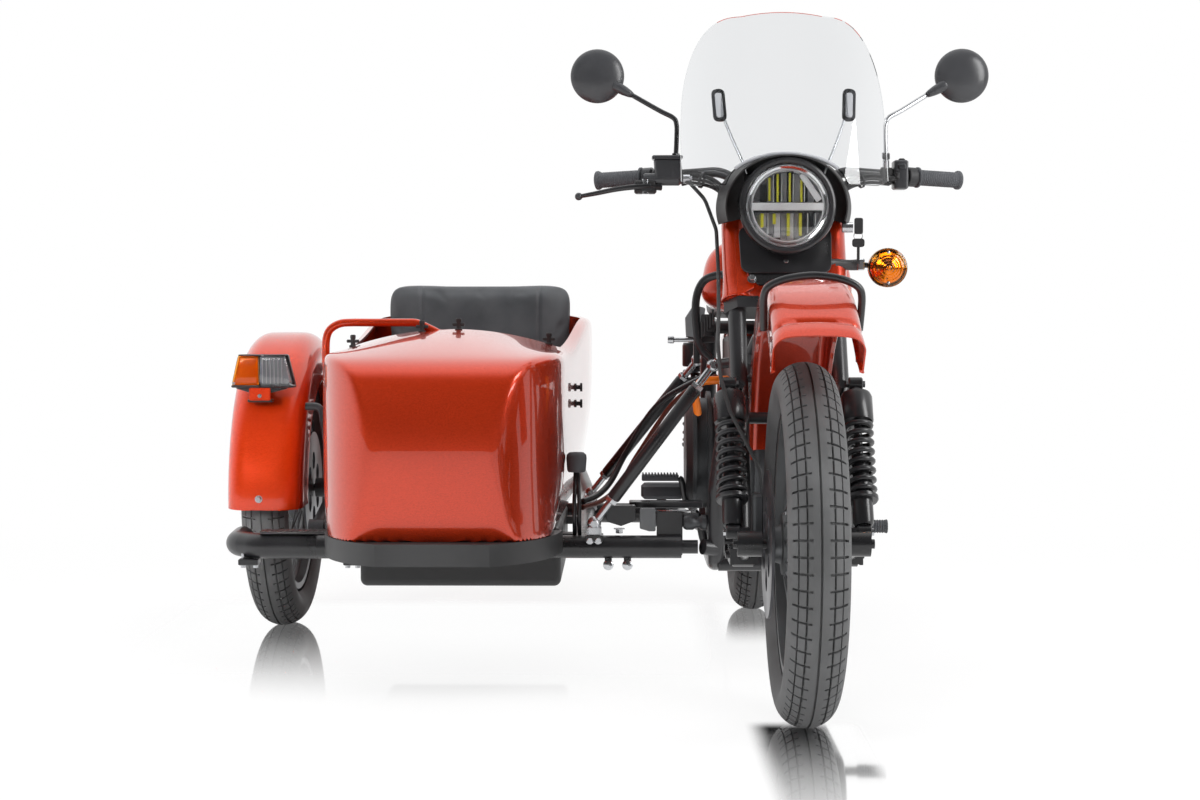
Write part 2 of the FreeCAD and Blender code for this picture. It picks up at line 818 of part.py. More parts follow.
def screen_sheet(inner_radius, outer_radius):
    """A sheet bent round an upright axis and pushed up along the screen's rake."""
    centre = at(0, SCREEN_FRONT + SCREEN_BEND, SCREEN_BASE)
    angle = math.asin(SCREEN_HALF * 1.05 / SCREEN_BEND)

    def sweep(radius):
        start = centre + V(-radius * math.sin(angle), -radius * math.cos(angle), 0)
        end = centre + V(radius * math.sin(angle), -radius * math.cos(angle), 0)
        return Part.Arc(start, centre + V(0, -radius, 0), end).toShape(), start, end

    outer, outer_start, outer_end = sweep(outer_radius)
    inner, inner_start, inner_end = sweep(inner_radius)
    edges = [
        outer,
        Part.LineSegment(outer_end, inner_end).toShape(),
        inner,
        Part.LineSegment(inner_start, outer_start).toShape(),
    ]
    face = Part.Face(Part.Wire(Part.__sortEdges__(edges)))
    rise = SCREEN_TOP - SCREEN_BASE + 40
    return face.extrude(V(0, SCREEN_SLOPE * rise, rise))


def make_windscreen():
    """A clear curved sheet, raked back, arched over the headlamp."""
    half = SCREEN_HALF
    low = SCREEN_LOW
    top = SCREEN_TOP

    def point(x, z):
        return V(BIKE_X + x, REAR_Y + SCREEN_FRONT - 170, z)

    edges = [
        Part.LineSegment(point(half, low), point(half - 4, top - 130)),
        Part.Arc(point(half - 4, top - 130), point(half - 50, top - 36), point(half - 130, top - 8)),
        Part.Arc(point(half - 130, top - 8), point(0, top), point(130 - half, top - 8)),
        Part.Arc(point(130 - half, top - 8), point(50 - half, top - 36), point(4 - half, top - 130)),
        Part.LineSegment(point(4 - half, top - 130), point(-half, low)),
        Part.LineSegment(point(-half, low), point(-124, low)),
        Part.Arc(point(-124, low), point(0, low + 80), point(124, low)),
        Part.LineSegment(point(124, low), point(half, low)),
    ]
    mask = Part.Face(Part.Wire([edge.toShape() for edge in edges])).extrude(V(0, 700, 0))
    clear = screen_sheet(SCREEN_BEND - size("screen_wall"), SCREEN_BEND)
    keep("windscreen", clear.common(mask))


def make_windscreen_brackets():
    """A rod and an oval pad on each side, from the bar to the screen."""
    high = SCREEN_BASE + 196
    back = SCREEN_FRONT + SCREEN_BEND + SCREEN_SLOPE * (high - SCREEN_BASE)
    reach = SCREEN_BEND - size("screen_wall")
    across = 137.0
    pad = at(across, back - math.sqrt(reach ** 2 - across ** 2), high)
    outward = V(across, pad.y - at(0, back, 0).y, 0)
    outward.normalize()
    outward = V(outward.x, outward.y, SCREEN_SLOPE * outward.y)
    bar = bar_points()[1]
    foot = V(BIKE_X + 70, bar.y + 6, bar.z + 4)
    bracket = fused([rod(pad - outward * 14, pad + outward * 6, 15), rod(foot, pad - outward * 8, 4),
                     block(foot - V(7, 12, 12), foot + V(7, 14, 22))])
    spare = screen_sheet(SCREEN_BEND - size("screen_wall") - 0.3, SCREEN_BEND + 60)
    pieces = both_sides(bracket.cut(spare).cut(bar_bore()))
    keep("windscreen_brackets", Part.makeCompound(pieces))


def make_main_frame():
    """Twin-loop tubular frame: head tube, backbone, down tubes, cradle, rails and stays."""
    r = size("frame_radius")
    half = size("cradle_half")
    floor = size("cradle_floor")
    rail = size("rail_height")
    head_low = on_steering(0, 0, size("yoke_low") + 0.5)
    head_high = on_steering(0, 0, size("yoke_high") - size("yoke_thickness") - 0.5)
    bore = rod(head_low - STEER * 5, head_high + STEER * 5, size("stem_radius") + 0.5)
    head = rod(head_low, head_high, size("head_radius"))
    parts = [head]
    parts.append(tube([head_low + STEER * 60, at(0, -905, rail), at(0, -383, rail)], 21, 60))
    loop = [
        at(8, -1000, 812),
        at(0.85 * half, -945, 560),
        at(half, -925, 400),
        at(half, -870, floor),
        at(half, -425, floor),
        at(half, -395, 330),
        at(half - 6, -385, rail),
    ]
    parts += both_sides(tube(loop, r, 70))
    rails = [at(half - 6, -385, rail), at(half - 10, 0, rail), at(half - 40, 150, rail + 8)]
    parts += both_sides(tube(rails, 15, 60))
    parts += both_sides(rod(at(half, -395, 345), at(half - 10, -10, rail), 13))
    crossings = [(-860, floor, 16), (-620, floor, 16), (-425, floor, 16), (-385, rail, 16),
                 (60, rail - 2.5, 13)]
    for y, z, radius in crossings:
        parts.append(rod(at(-half + 6, y, z), at(half - 6, y, z), radius))
    parts += both_sides(rod(at(half, -388, 335), at(112.3, -388, 335), 15))
    parts += both_sides(rod(at(half - 10, -8, rail - 22), at(139.7, -8, rail - 22), 9))
    parts.append(rod(at(-half - 30, -900, 267), at(-half, -885, 262), 17))
    parts.append(rod(at(-half - 30, -330, 267), at(-half, -405, 255), 17))
    parts.append(rod(at(-70, -1000, 680), at(-133, -935, 668), 11))
    parts.append(rod(at(-half + 4, -387, 664), at(-150, -318, 664), 11))
    for y in (-782, -600):
        parts.append(block(at(-24, y - 16, rail), at(24, y + 16, rail + 27.0)))
    whole = fused(parts).cut(bore)
    keep("main_frame", whole.removeSplitter())


def make_tank():
    """The tank-shaped cover above the battery."""
    half = size("tank_half")
    top = size("tank_top")
    low = size("rail_height") + 28
    stations = [
        (-912, 0.42, low + 34, top - 55, 30),
        (-880, 0.80, low + 8, top - 14, 60),
        (-780, 1.00, low, top, 74),
        (-640, 0.98, low, top - 4, 74),
        (-500, 0.82, low, top - 40, 60),
        (-420, 0.55, low + 4, top - 90, 34),
    ]
    sections = []
    for y, share, below, above, corner in stations:
        middle = at(0, y, 0)
        sections.append(oval_section(middle.x, middle.y, half * share, below, above, corner))
    keep("fuel_tank", Part.makeLoft(sections, True, False))


def make_drive():
    """The round finned drive housing across the frame, its feet and the battery block."""
    big = "drive_radius"
    points = [("-drive_left", "0"), ("-drive_left", "drive_radius - 40"),
              ("-drive_left + 8", "drive_radius - 26")]
    fins = 9
    for index in range(fins):
        low = "-drive_left + 14 + %d * (drive_left + drive_right - 28) / %d" % (index, fins)
        points.append((low, "%s - 16" % big))
        points.append((low, big))
        points.append((low + " + 9", big))
        points.append((low + " + 9", "%s - 16" % big))
    points.append(("drive_right", "drive_radius - 30"))
    points.append(("drive_right", "0"))
    place = ("bike_x", "rear_axle_y + drive_y", "drive_height")
    turned_body("drive_housing", points, {}, place)
    rail = size("rail_height")
    keep("battery_block", rounded(block(at(-100, -895, 612), at(100, -440, rail - 21.3)), 12))
    middle = at(0, size("drive_y"), size("drive_height"))
    feet = block(at(-60, -740, size("cradle_floor") + 10), at(60, -600, 360))
    feet = feet.cut(rod(middle - X_AXIS * 300, middle + X_AXIS * 300, size("drive_radius") + 0.3))
    for y in (-860, -620, -425):
        feet = feet.cut(rod(at(-200, y, size("cradle_floor")), at(200, y, size("cradle_floor")), 16.3))
    gear = rounded(block(at(-72, -527.7, 300), at(72, -414, 520)), 10)
    keep("gear_block", gear)
    keep("drive_cradle", feet)


def make_power_cables():
    """Two heavy cables from the battery block down to the drive housing."""
    cables = []
    middle = at(0, size("drive_y"), size("drive_height"))
    housing = rod(middle - X_AXIS * 300, middle + X_AXIS * 300, size("drive_radius") + 0.3)
    for shift in (20, 50):
        points = [
            at(-102.8, -770 + shift, 628),
            at(-166, -790 + shift, 626),
            at(-178, -800 + shift, 596),
            at(-168, -788 + shift, 530),
        ]
        cables.append(tube(points, 9, 22).cut(housing))
    keep("power_cables", Part.makeCompound(cables))


def make_swing_arm():
    """The rear swing arm: pivot tube, left arm and the shaft tube on the right."""
    pivot = at(0, -388, 335)
    axle = at(0, 0, AXLE_Z)
    parts = [rod(pivot - X_AXIS * 112, pivot + X_AXIS * 112, 22)]
    parts.append(rod(pivot + X_AXIS * 95, axle + X_AXIS * 95, 16))
    parts.append(rod(axle + X_AXIS * 80, axle + X_AXIS * 118, 26))
    parts.append(rod(pivot - X_AXIS * 92, axle - X_AXIS * 92 - Y_AXIS * 84, 19))
    parts.append(rod(axle - X_AXIS * 140, axle + X_AXIS * 140, size("axle_radius")))
    parts += both_sides(block(axle + V(96, -4, 4), axle + V(139.7, 14, 44)))
    return fused(parts)


def make_rear():
    """Swing arm, final drive, spring legs, mudguard, saddle and tail lamp."""
    axle = at(0, 0, AXLE_Z)
    casting = turned([(62, 0), (62, 62), (74, 82), (104, 84), (124, 60), (128, 0)], axle, X_AXIS * -1)
    casting = casting.cut(rod(axle - X_AXIS * 200, axle, size("axle_radius") + 0.3))
    arm = make_swing_arm()
    casting = casting.cut(arm)
    keep("swing_arm", arm)
    keep("final_drive", max(casting.Solids, key=lambda solid: solid.Volume))
    low = at(154, 6, AXLE_Z + 36)
    high = at(154, -8, size("rail_height") - 22)
    keep("rear_shocks", Part.makeCompound(both_sides(shock(low, high, 28, 5.5, 9))))
    guard = arch(at(0, 6, AXLE_Z + 10), 380, 80, 86, 3, -4, 118)
    keep("rear_fender", guard)
    seat = rounded(block(at(-135, -408, 767.1), at(135, 150, 846)), 24)
    keep("rider_saddle", seat)
    middle = at(0, 6, AXLE_Z + 10)
    clear = rod(middle - X_AXIS * 200, middle + X_AXIS * 200, 380.3)
    lamp = rounded(block(at(-52, 356, 585), at(52, 392, 630)), 8)
    keep("tail_lamp", fused([lamp, rod(at(0, 300, 540), at(0, 370, 600), 12)]).cut(clear))
    arms = both_sides(rod(at(40, 300, 520), at(40, 422, 520), 6))
    keep("number_plate", fused([block(at(-95, 420, 430), at(95, 424, 548))] + arms).cut(clear))


def make_footrests():
    """Rider's footrests on bars from the frame."""
    half = size("cradle_half")
    left = fused([
        rod(at(half + 20, -650, 262), at(half + 20, -650, 286), 10),
        rod(at(half + 12, -650, 286), at(272, -650, 286), 14),
        rod(at(half, -650, size("cradle_floor") + 8), at(half + 22, -650, 268), 12),
    ])
    right = fused([
        rod(at(-half, -650, size("cradle_floor") + 8), at(-half - 22, -650, 268), 12),
        rod(at(-half - 20, -650, 262), at(-half - 20, -650, 300), 10),
        rod(at(-half - 12, -650, 300), at(-272, -650, 300), 14),
    ])
    tubes = [rod(at(s * half, -870, size("cradle_floor")), at(s * half, -425, size("cradle_floor")),
                 size("frame_radius") + 0.3) for s in (1, -1)]
    both = [piece.cut(Part.makeCompound(tubes)) for piece in (left, right)]
    keep("footrests", Part.makeCompound([max(p.Solids, key=lambda s: s.Volume) for p in both]))


def make_sidecar_frame():
    """The sidecar's tubular frame with its mounts to the bike and to the body."""
    r = size("side_tube")
    z = size("side_frame_z")
    parts = [
        rod(beside(-305, -900, z), at(-212, -900, z), r),
        rod(beside(-305, -150, z), at(-212, -150, z), r),
        tube([beside(-287, -902, z), beside(-287, -148, z), beside(-287, 60, z + 20),
              beside(-225, 470, z + 90)], 22, 120),
        tube([beside(275, -902, z), beside(275, -148, z), beside(275, 60, z + 20),
              beside(225, 470, z + 90)], 22, 120),
        rod(beside(-287, -610, z + 8), beside(-332.7, -610, z + 8), 16),
        rod(at(-212, -900, z), at(-176, -900, z), 15),
        tube([at(-212, -150, z), at(-190, -150, z), at(-168, -320, z)], 15, 30),
        tube([beside(-287, -150, z), beside(-309, -150, 400), beside(-309, -206, 648)], 13, 60),
        rod(beside(-309, -206, 640), beside(-336.7, -206, 640), 9),
        tube([beside(-145, -832, 260), beside(-445, -832, 260), beside(-503, -790, 260),
              beside(-507, -700, 262)], 28, 50),
    ]
    for x in (-195, 145):
        for y in (-900, -150):
            parts.append(rod(beside(x, y, z), beside(x, y, size("tub_floor") - 0.3), 18))
    for y in (-640, 80):
        foot_y = y + (60 if y < 0 else -60)
        route = [beside(-287, y, z + 2), beside(-345, foot_y, 560), beside(-380.6, foot_y, 560)]
        parts.append(tube(route, 9, 25))
    keep("sidecar_frame", fused(parts))


def make_struts():
    """Adjustable struts from the sidecar frame up to the bike's frame."""
    z = size("side_frame_z") + size("side_tube")
    struts = []
    for low, high in (
        (beside(302, -900, z + 0.3), at(-143.6, -924.1, 666)),
        (beside(284, -150, z + 0.3), at(-154.3, -302.9, 664)),
    ):
        line = high.sub(low + Z_AXIS * 16)
        length = line.Length
        line.normalize()
        struts.append(fused([
            rod(low + Z_AXIS * 16, high, 9),
            rod(high - line * (length - 60), high - line * 60, 15),
            rod(low, low + Z_AXIS * 22, 19),
            Part.makeSphere(15, high),
        ]))
    keep("sidecar_struts", Part.makeCompound(struts))


TUB_PLAN = [
    (-1235, 118), (-1225, 133), (-1200, 163), (-1143, 208), (-1080, 236), (-1000, 254),
    (-900, 261), (-400, 272), (100, 282), (400, 268), (560, 232), (620, 205),
]
TUB_MIDDLE = [(-1250, -22), (-1000, -22), (-600, -14), (-100, -1), (640, 0)]
TUB_NOSE = [
    (230, -1165), (315, -1193), (339, -1203), (381, -1214), (434, -1222), (511, -1226),
    (573, -1220), (611, -1211), (640, -1200), (655, -1190), (684, -1150), (720, -1060),
]
TUB_TAIL = [(230, 470), (330, 540), (450, 590), (600, 600), (720, 560), (800, 480)]
TUB_TOP = [(-1260, 655), (-1112, 690), (-750, 742), (-400, 768), (-150, 788), (100, 792),
           (400, 778), (640, 735)]
TUB_DROP = [(-1260, 1), (-1143, 2), (-900, 36), (-750, 50), (-300, 30), (640, 44)]
TUB_RISE = [(-1260, 0), (-150, 0), (100, 8), (400, 80), (640, 150)]
TUB_SIDE = 262.0
TUB_TUCK = [(236, 310), (264, 440), (287, 620)]
SECTION_SIDE = 287.0
MOUTH = [(-251, -742), (221, -742), (257, -100), (-253, -100)]
MOUTH_CORNER = 30.0
BULKHEAD = (-100.0, -94.0)
HATCH_X = (-190.0, 190.0)
HATCH_Y = (20.0, 470.0)
HINGE_X = (-100.0, 100.0)
HINGE_AXIS = (8.0, 797.0)
HINGE_WIDE = 19.0
HINGE_RADIUS = 5.0
HINGE_PIN = 2.4
HINGE_LOW = 781.0
CUT_LOW = 640.0
CUT_HIGH = 1000.0


def read_table(table, where):
    """The value at a place between a table's rows, on straight lines."""
    for (start, low), (end, high) in zip(table, table[1:]):
        if where <= end:
            return low + (high - low) * (where - start) / (end - start)
    return table[-1][1]


def spline_edge(points):
    """A smooth edge through points."""
    curve = Part.BSplineCurve()
    curve.interpolate(points)
    return curve.toShape()


def plan_form(inset, low, high):
    """The body's outline from above, drawn in by an inset, between two heights."""
    sides = []
    for sign in (1, -1):
        side = []
        for y, half in TUB_PLAN:
            along = max(y, TUB_PLAN[0][0] + inset) if y < 0 else y
            side.append(beside(read_table(TUB_MIDDLE, y) + sign * (half - inset), along, low))
        sides.append(side)
    right, left = sides
    edges = [spline_edge(right), Part.LineSegment(right[-1], left[-1]).toShape(), spline_edge(left),
             Part.LineSegment(left[0], right[0]).toShape()]
    return Part.Face(Part.Wire(Part.__sortEdges__(edges))).extrude(Z_AXIS * (high - low))


def side_form(inset):
    """The body's nose and tail curves seen from the side, drawn in by an inset."""
    start = -2 * SECTION_SIDE
    nose = [beside(start, y + inset, z) for z, y in TUB_NOSE] + [beside(start, -800, 900)]
    tail = [beside(start, y - inset, z) for z, y in TUB_TAIL] + [beside(start, 300, 900)]
    edges = [spline_edge(nose[:-1]), Part.LineSegment(nose[-2], nose[-1]).toShape(),
             Part.LineSegment(nose[-1], tail[-1]).toShape(), Part.LineSegment(tail[-1], tail[-2]).toShape(),
             spline_edge(tail[:-1]), Part.LineSegment(tail[0], nose[0]).toShape()]
    return Part.Face(Part.Wire(Part.__sortEdges__(edges))).extrude(X_AXIS * (4 * SECTION_SIDE))


def deck_form(inset):
    """Crowned sections from floor to deck, wider than the body, lofted from nose to tail."""
    sections = []
    for y, top in TUB_TOP:
        drop = read_table(TUB_DROP, y) * (SECTION_SIDE / TUB_SIDE) ** 2
        middle = read_table(TUB_MIDDLE, y)
        low = size("tub_floor") + read_table(TUB_RISE, y) + inset
        left, right = [
            [beside(middle + sign * (half - inset), y, max(z, low)) for half, z in TUB_TUCK]
            for sign in (-1, 1)]
        shoulders = [beside(middle + sign * SECTION_SIDE, y, top - drop - inset) for sign in (-1, 1)]
        edges = [Part.LineSegment(left[0], right[0]), Part.Arc(*right),
                 Part.LineSegment(right[-1], shoulders[1]),
                 Part.Arc(shoulders[1], beside(middle, y, top - inset), shoulders[0]),
                 Part.LineSegment(shoulders[0], left[-1]), Part.Arc(*left[::-1])]
        sections.append(Part.Wire([edge.toShape() for edge in edges]))
    return Part.makeLoft(sections, True, True)


def tub_hull(inset):
    """The body as a closed form: outline from above, outline from the side and crowned deck in common."""
    return deck_form(inset).common(plan_form(inset, 200, 900)).common(side_form(inset))


def make_tub():
    """The sidecar body: a hollow hull with an open cockpit and a trunk under a lid."""
    wall = size("tub_wall")
    outer = tub_hull(0)
    inner = tub_hull(wall)
    cockpit = block(beside(-400, -1400, 200), beside(400, BULKHEAD[0], CUT_HIGH))
    trunk = block(beside(-400, BULKHEAD[1], 200), beside(400, 700, CUT_HIGH))
    shell = outer.cut(inner.common(cockpit)).cut(inner.common(trunk))
    rim = polygon([beside(x, y, CUT_LOW) for x, y in MOUTH])
    mouth = Part.Face(rim).extrude(Z_AXIS * (CUT_HIGH - CUT_LOW))
    edges = [edge for edge in mouth.Edges if abs(edge.tangentAt(0).z) > 0.99]
    mouth = mouth.makeFillet(MOUTH_CORNER, edges)
    gap = size("lid_gap")
    hatch = block(beside(HATCH_X[0], HATCH_Y[0], CUT_LOW), beside(HATCH_X[1], HATCH_Y[1], CUT_HIGH))
    hole = block(beside(HATCH_X[0] - gap, HATCH_Y[0] - gap, CUT_LOW),
                 beside(HATCH_X[1] + gap, HATCH_Y[1] + gap, CUT_HIGH))
    lid = outer.cut(inner).common(hatch)
    fixed = [shell.cut(mouth).cut(hole)]
    moving = [lid]
    for x in HINGE_X:
        pin = beside(x, *HINGE_AXIS)
        knuckle = V(HINGE_WIDE, 0, 0)
        fixed.append(rod(pin - knuckle, pin - X_AXIS * 0.3, HINGE_RADIUS))
        fixed.append(block(beside(x - HINGE_WIDE, HINGE_AXIS[0] - 42, HINGE_LOW),
                           beside(x - 0.3, HINGE_AXIS[0], HINGE_LOW + 14)))
        fixed.append(rod(pin - knuckle, pin + knuckle, HINGE_PIN))
        leaf = [rod(pin + X_AXIS * 0.3, pin + knuckle, HINGE_RADIUS),
                block(beside(x + 0.3, HATCH_Y[0] + 1, HINGE_LOW),
                      beside(x + HINGE_WIDE, HATCH_Y[0] + 32, HINGE_LOW + 15)),
                block(beside(x + 0.3, HINGE_AXIS[0], HINGE_LOW + 10.5),
                      beside(x + HINGE_WIDE, HATCH_Y[0] + 10, HINGE_LOW + 15))]
        bore = rod(pin - knuckle, pin + knuckle * 2, HINGE_PIN + 0.3)
        moving.append(leaf[0].multiFuse(leaf[1:]).cut(bore))
    keep("sidecar_tub", fixed[0].multiFuse(fixed[1:]))
    keep("trunk_lid", lid.multiFuse(moving[1:]))


def make_nose_skirt():
    """The black strip under the nose: a band that follows the body's outline, with a plate above it."""
    top = size("tub_floor") - 0.3
    low = size("skirt_low")
    band = plan_form(2, low, top).cut(plan_form(14, low - 10, top - 6))
    front = block(beside(-400, -1400, low - 20), beside(400, size("skirt_back"), top + 20))
    keep("nose_skirt", band.common(front))


def make_sidecar_trim():
    """Cushion, backrest, rail, skirt, battery box and step."""
    keep("sidecar_cushion", rounded(block(beside(-222, -640, 316.4), beside(208, -200, 455)), 24))
    keep("sidecar_backrest", rounded(block(beside(-248, -195, 456), beside(248, -100.4, 866)), 30))
    rail = [beside(-265, -741, 642), beside(-309, -741, 650), beside(-307, -746, 728),
            beside(-270, -748, 757), beside(-106, -750, 757), beside(-40, -750, 728)]
    keep("grab_rail", tube(rail, 9, 30).cut(tub_hull(-0.3)))
    half = size("battery_half")
    box = rounded(block(beside(-half, -800, size("battery_floor")), beside(half, -210, 298)), 16)
    lugs = []
    for y in (-700, -320):
        lugs.append(block(beside(-264.6, y - 20, 258), beside(4 - half, y + 20, 276)))
        lugs.append(block(beside(half - 4, y - 20, 258), beside(252.6, y + 20, 276)))
    keep("battery_box", fused([box] + lugs))
    keep("sidecar_step", block(beside(-445, -858, 289.3), beside(-195, -804, 294)))


def make_sidecar_wheel_gear():
    """The sidecar's mudguard, lamp, swing arm and spring leg."""
    radius = size("side_fender_radius")
    guard = arch(at(SIDE_X + 10.5, SIDE_Y, AXLE_Z), radius, size("side_fender_half"), 120, 3, -2, 183)
    keep("sidecar_fender", guard)
    lamp = rounded(block(at(SIDE_X - 65, -645, 606), at(SIDE_X + 83, -590, 683)), 12)
    clear = rod(at(SIDE_X - 115, SIDE_Y, AXLE_Z), at(SIDE_X + 185, SIDE_Y, AXLE_Z), radius + 0.3)
    stem = rod(at(SIDE_X + 13, -592, 630), at(SIDE_X + 13, -480, 630), 10)
    keep("fender_lamp", fused([lamp, stem]).cut(clear))
    axle = at(SIDE_X, SIDE_Y, AXLE_Z)
    arm_x = SIDE_X + 129
    parts = [
        rod(at(arm_x, -610, 275), at(arm_x, SIDE_Y, AXLE_Z), 17),
        rod(at(arm_x, SIDE_Y, AXLE_Z), at(arm_x, SIDE_Y + 70, AXLE_Z - 10), 14.8),
        rod(at(arm_x + 16, SIDE_Y, AXLE_Z), at(SIDE_X + 76, SIDE_Y, AXLE_Z), 24),
        rod(at(arm_x, SIDE_Y, AXLE_Z), axle - X_AXIS * 64, size("axle_radius")),
        rod(at(arm_x - 18, -610, 275), at(arm_x + 18, -610, 275), 22),
    ]
    keep("sidecar_swing_arm", fused(parts))
    low = at(arm_x, SIDE_Y + 66, AXLE_Z + 20)
    high = at(arm_x, -206, 640)
    keep("sidecar_shock", shock(low, high, 24, 5, 9))


def caliper():
    """The front brake caliper over the disc's edge, behind the axle."""
    disc_x = BIKE_X - size("disc_offset") + size("disc_thickness") / 2
    middle = from_front_axle(0, 0, 0)
    low = V(disc_x - 24, middle.y + 96, middle.z - 6)
    high = V(disc_x + 18, middle.y + 160, middle.z + 84)
    body = rounded(block(low, high), 8)
    slot = rod(V(disc_x - 6, middle.y, middle.z), V(disc_x + 6, middle.y, middle.z), size("disc_radius") + 5)
    keep("front_caliper", body.cut(slot))


def make_signals():
    """The turn signal on its bracket and the ignition lock."""
    centre = at(213, -1085, 873)
    lens = turned([(0, 0), (0, 34), (10, 41), (30, 41), (44, 24), (46, 0)], centre, Y_AXIS)
    arm = rod(centre + V(-30, 36, 4), at(129.75, -1050, 880), 7)
    keep("turn_signal", fused([lens, arm]))


def make_brake_hose():
    """The hose from the reservoir on the bar down to the caliper."""
    points = [
        at(-246.5, -935, 1072),
        at(-205, -945, 1067),
        at(-165, -965, 1022),
        at(-142, -1000, 955),
        at(-140, -1060, 860),
        at(-144, -1150, 780),
        at(-150, -1245, 718),
        at(-147, -1300, 650),
        at(-130, -1330, 585),
        at(-98, -1354, 522),
        at(-72, -1368, 470),
        at(-69, -1372, 427.4),
    ]
    keep("brake_hose", tube(points, 4, 60))


make_tyres()
make_rims()
make_discs()
make_fork()
make_leading_link()
make_front_shocks()
make_fork_covers()
make_front_fender()
make_fender_rail()
make_headlamp()
make_nacelle()
make_handlebar()
make_grips()
make_hand_controls()
make_mirrors()
make_windscreen()
make_windscreen_brackets()
caliper()
make_signals()
make_brake_hose()
make_main_frame()
make_tank()
make_drive()
make_power_cables()
make_rear()
make_footrests()
make_sidecar_frame()
make_struts()
make_tub()
make_nose_skirt()
make_sidecar_trim()
make_sidecar_wheel_gear()

doc.recompute()
for thing in doc.Objects:
    if "Invalid" in thing.State or "Error" in thing.State:
        raise RuntimeError("failed object: " + thing.Label)
bad = []
for piece in nodes:
    if piece.Shape.isNull() or not piece.Shape.isValid() or piece.Shape.Volume < 1:
        bad.append(piece.Label)
if bad:
    raise RuntimeError("bad shapes: " + ", ".join(bad))
os.makedirs("parts", exist_ok=True)
for piece in nodes:
    piece.Shape.exportStep("parts/%s.step" % piece.Label)
print("%d sub-parts written" % len(nodes))
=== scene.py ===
import math

import bmesh
import bpy
import numpy as np
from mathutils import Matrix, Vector


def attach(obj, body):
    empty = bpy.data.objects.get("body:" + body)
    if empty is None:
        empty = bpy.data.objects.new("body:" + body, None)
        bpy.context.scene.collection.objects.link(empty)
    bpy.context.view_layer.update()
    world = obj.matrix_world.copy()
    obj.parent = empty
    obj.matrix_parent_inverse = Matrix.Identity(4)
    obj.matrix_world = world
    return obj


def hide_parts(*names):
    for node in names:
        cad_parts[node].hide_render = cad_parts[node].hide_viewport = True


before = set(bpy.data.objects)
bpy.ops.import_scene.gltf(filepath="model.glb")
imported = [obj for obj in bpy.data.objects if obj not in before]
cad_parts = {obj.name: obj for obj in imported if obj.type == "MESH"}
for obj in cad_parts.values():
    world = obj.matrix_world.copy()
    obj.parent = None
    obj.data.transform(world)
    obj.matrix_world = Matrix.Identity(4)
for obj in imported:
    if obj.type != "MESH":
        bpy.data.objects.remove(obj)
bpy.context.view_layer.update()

# Places: the scene is in metres; tubes, blocks, profiles and outlines are given in the bike's millimetres

MM = 0.001
BIKE_X = 0.405
REAR_Y = 0.620
AXLE_Z = 0.343
WHEELBASE = 1.500
RAKE = math.radians(29.0)
TRAIL = 0.170
X, Y, Z = np.eye(3)
ZERO = np.array([BIKE_X, REAR_Y, 0.0])
STEER = np.array([0.0, math.sin(RAKE), math.cos(RAKE)])
AHEAD = np.array([0.0, -math.cos(RAKE), math.sin(RAKE)])
STEER_FOOT = ZERO + Y * (TRAIL - WHEELBASE - AXLE_Z * math.tan(RAKE))


def at(x, y, z):
    """A point in metres, given in millimetres from the bike's middle plane and rear axle."""
    return ZERO + np.array([x, y, z]) * MM


def on_steering(x, ahead, along):
    """A point in metres, given in millimetres from the steering axis."""
    return STEER_FOOT + (X * x + AHEAD * ahead + STEER * along) * MM


def unit(vector):
    """A direction of length one; several at once are given as rows."""
    vector = np.array(vector, dtype=float)
    return vector / np.linalg.norm(vector, axis=-1, keepdims=True)


def around(count):
    """Equal angles round a full turn."""
    return np.linspace(0, 2 * math.pi, count, endpoint=False)


# Meshes

def active(piece):
    """Select one piece alone, for an operator."""
    bpy.ops.object.select_all(action="DESELECT")
    piece.select_set(True)
    bpy.context.view_layer.objects.active = piece
    return piece


def mesh_piece(points, faces, smooth=True):
    """A mesh object from a point array and a list of face corners."""
    mesh = bpy.data.meshes.new("part")
    mesh.from_pydata(points.tolist(), [], faces)
    mesh.update()
    mesh.polygons.foreach_set("use_smooth", np.full(len(mesh.polygons), smooth))
    piece = bpy.data.objects.new("part", mesh)
    bpy.context.scene.collection.objects.link(piece)
    return piece


def grid_faces(rows, columns, close_rows, close_columns):
    """Quads of a grid, row by row; each direction may close on itself."""
    row = np.arange(rows if close_rows else rows - 1)
    column = np.arange(columns if close_columns else columns - 1)
    r, c = np.meshgrid(row, column, indexing="ij")
    r_next, c_next = (r + 1) % rows, (c + 1) % columns
    quads = [r * columns + c, r * columns + c_next, r_next * columns + c_next, r_next * columns + c]
    return np.stack(quads, axis=-1).reshape(-1, 4).tolist()


def grid_piece(points, close_rows=False, close_columns=False, caps=False, smooth=True, flip=False):
    """A surface on a grid of points; caps close the first and last rows."""
    rows, columns = points.shape[:2]
    faces = grid_faces(rows, columns, close_rows, close_columns)
    if caps:
        faces.append(list(range(columns))[::-1])
        faces.append([(rows - 1) * columns + c for c in range(columns)])
    if flip:
        faces = [face[::-1] for face in faces]
    return mesh_piece(points.reshape(-1, 3), faces, smooth)


def closed_rings(first_pole, rings, last_pole):
    """A closed surface in the bike's millimetres: a pole point, rings of points and another pole point."""
    rows, columns = rings.shape[:2]
    points = np.vstack([rings.reshape(-1, 3), [first_pole], [last_pole]]) * MM + ZERO
    here = np.arange(columns)
    after = (here + 1) % columns
    base = (rows - 1) * columns
    first, last = np.full(columns, rows * columns), np.full(columns, rows * columns + 1)
    faces = grid_faces(rows, columns, False, True)
    faces += np.stack([first, after, here], axis=-1).tolist()
    faces += np.stack([last, base + here, base + after], axis=-1).tolist()
    return mesh_piece(points, faces)


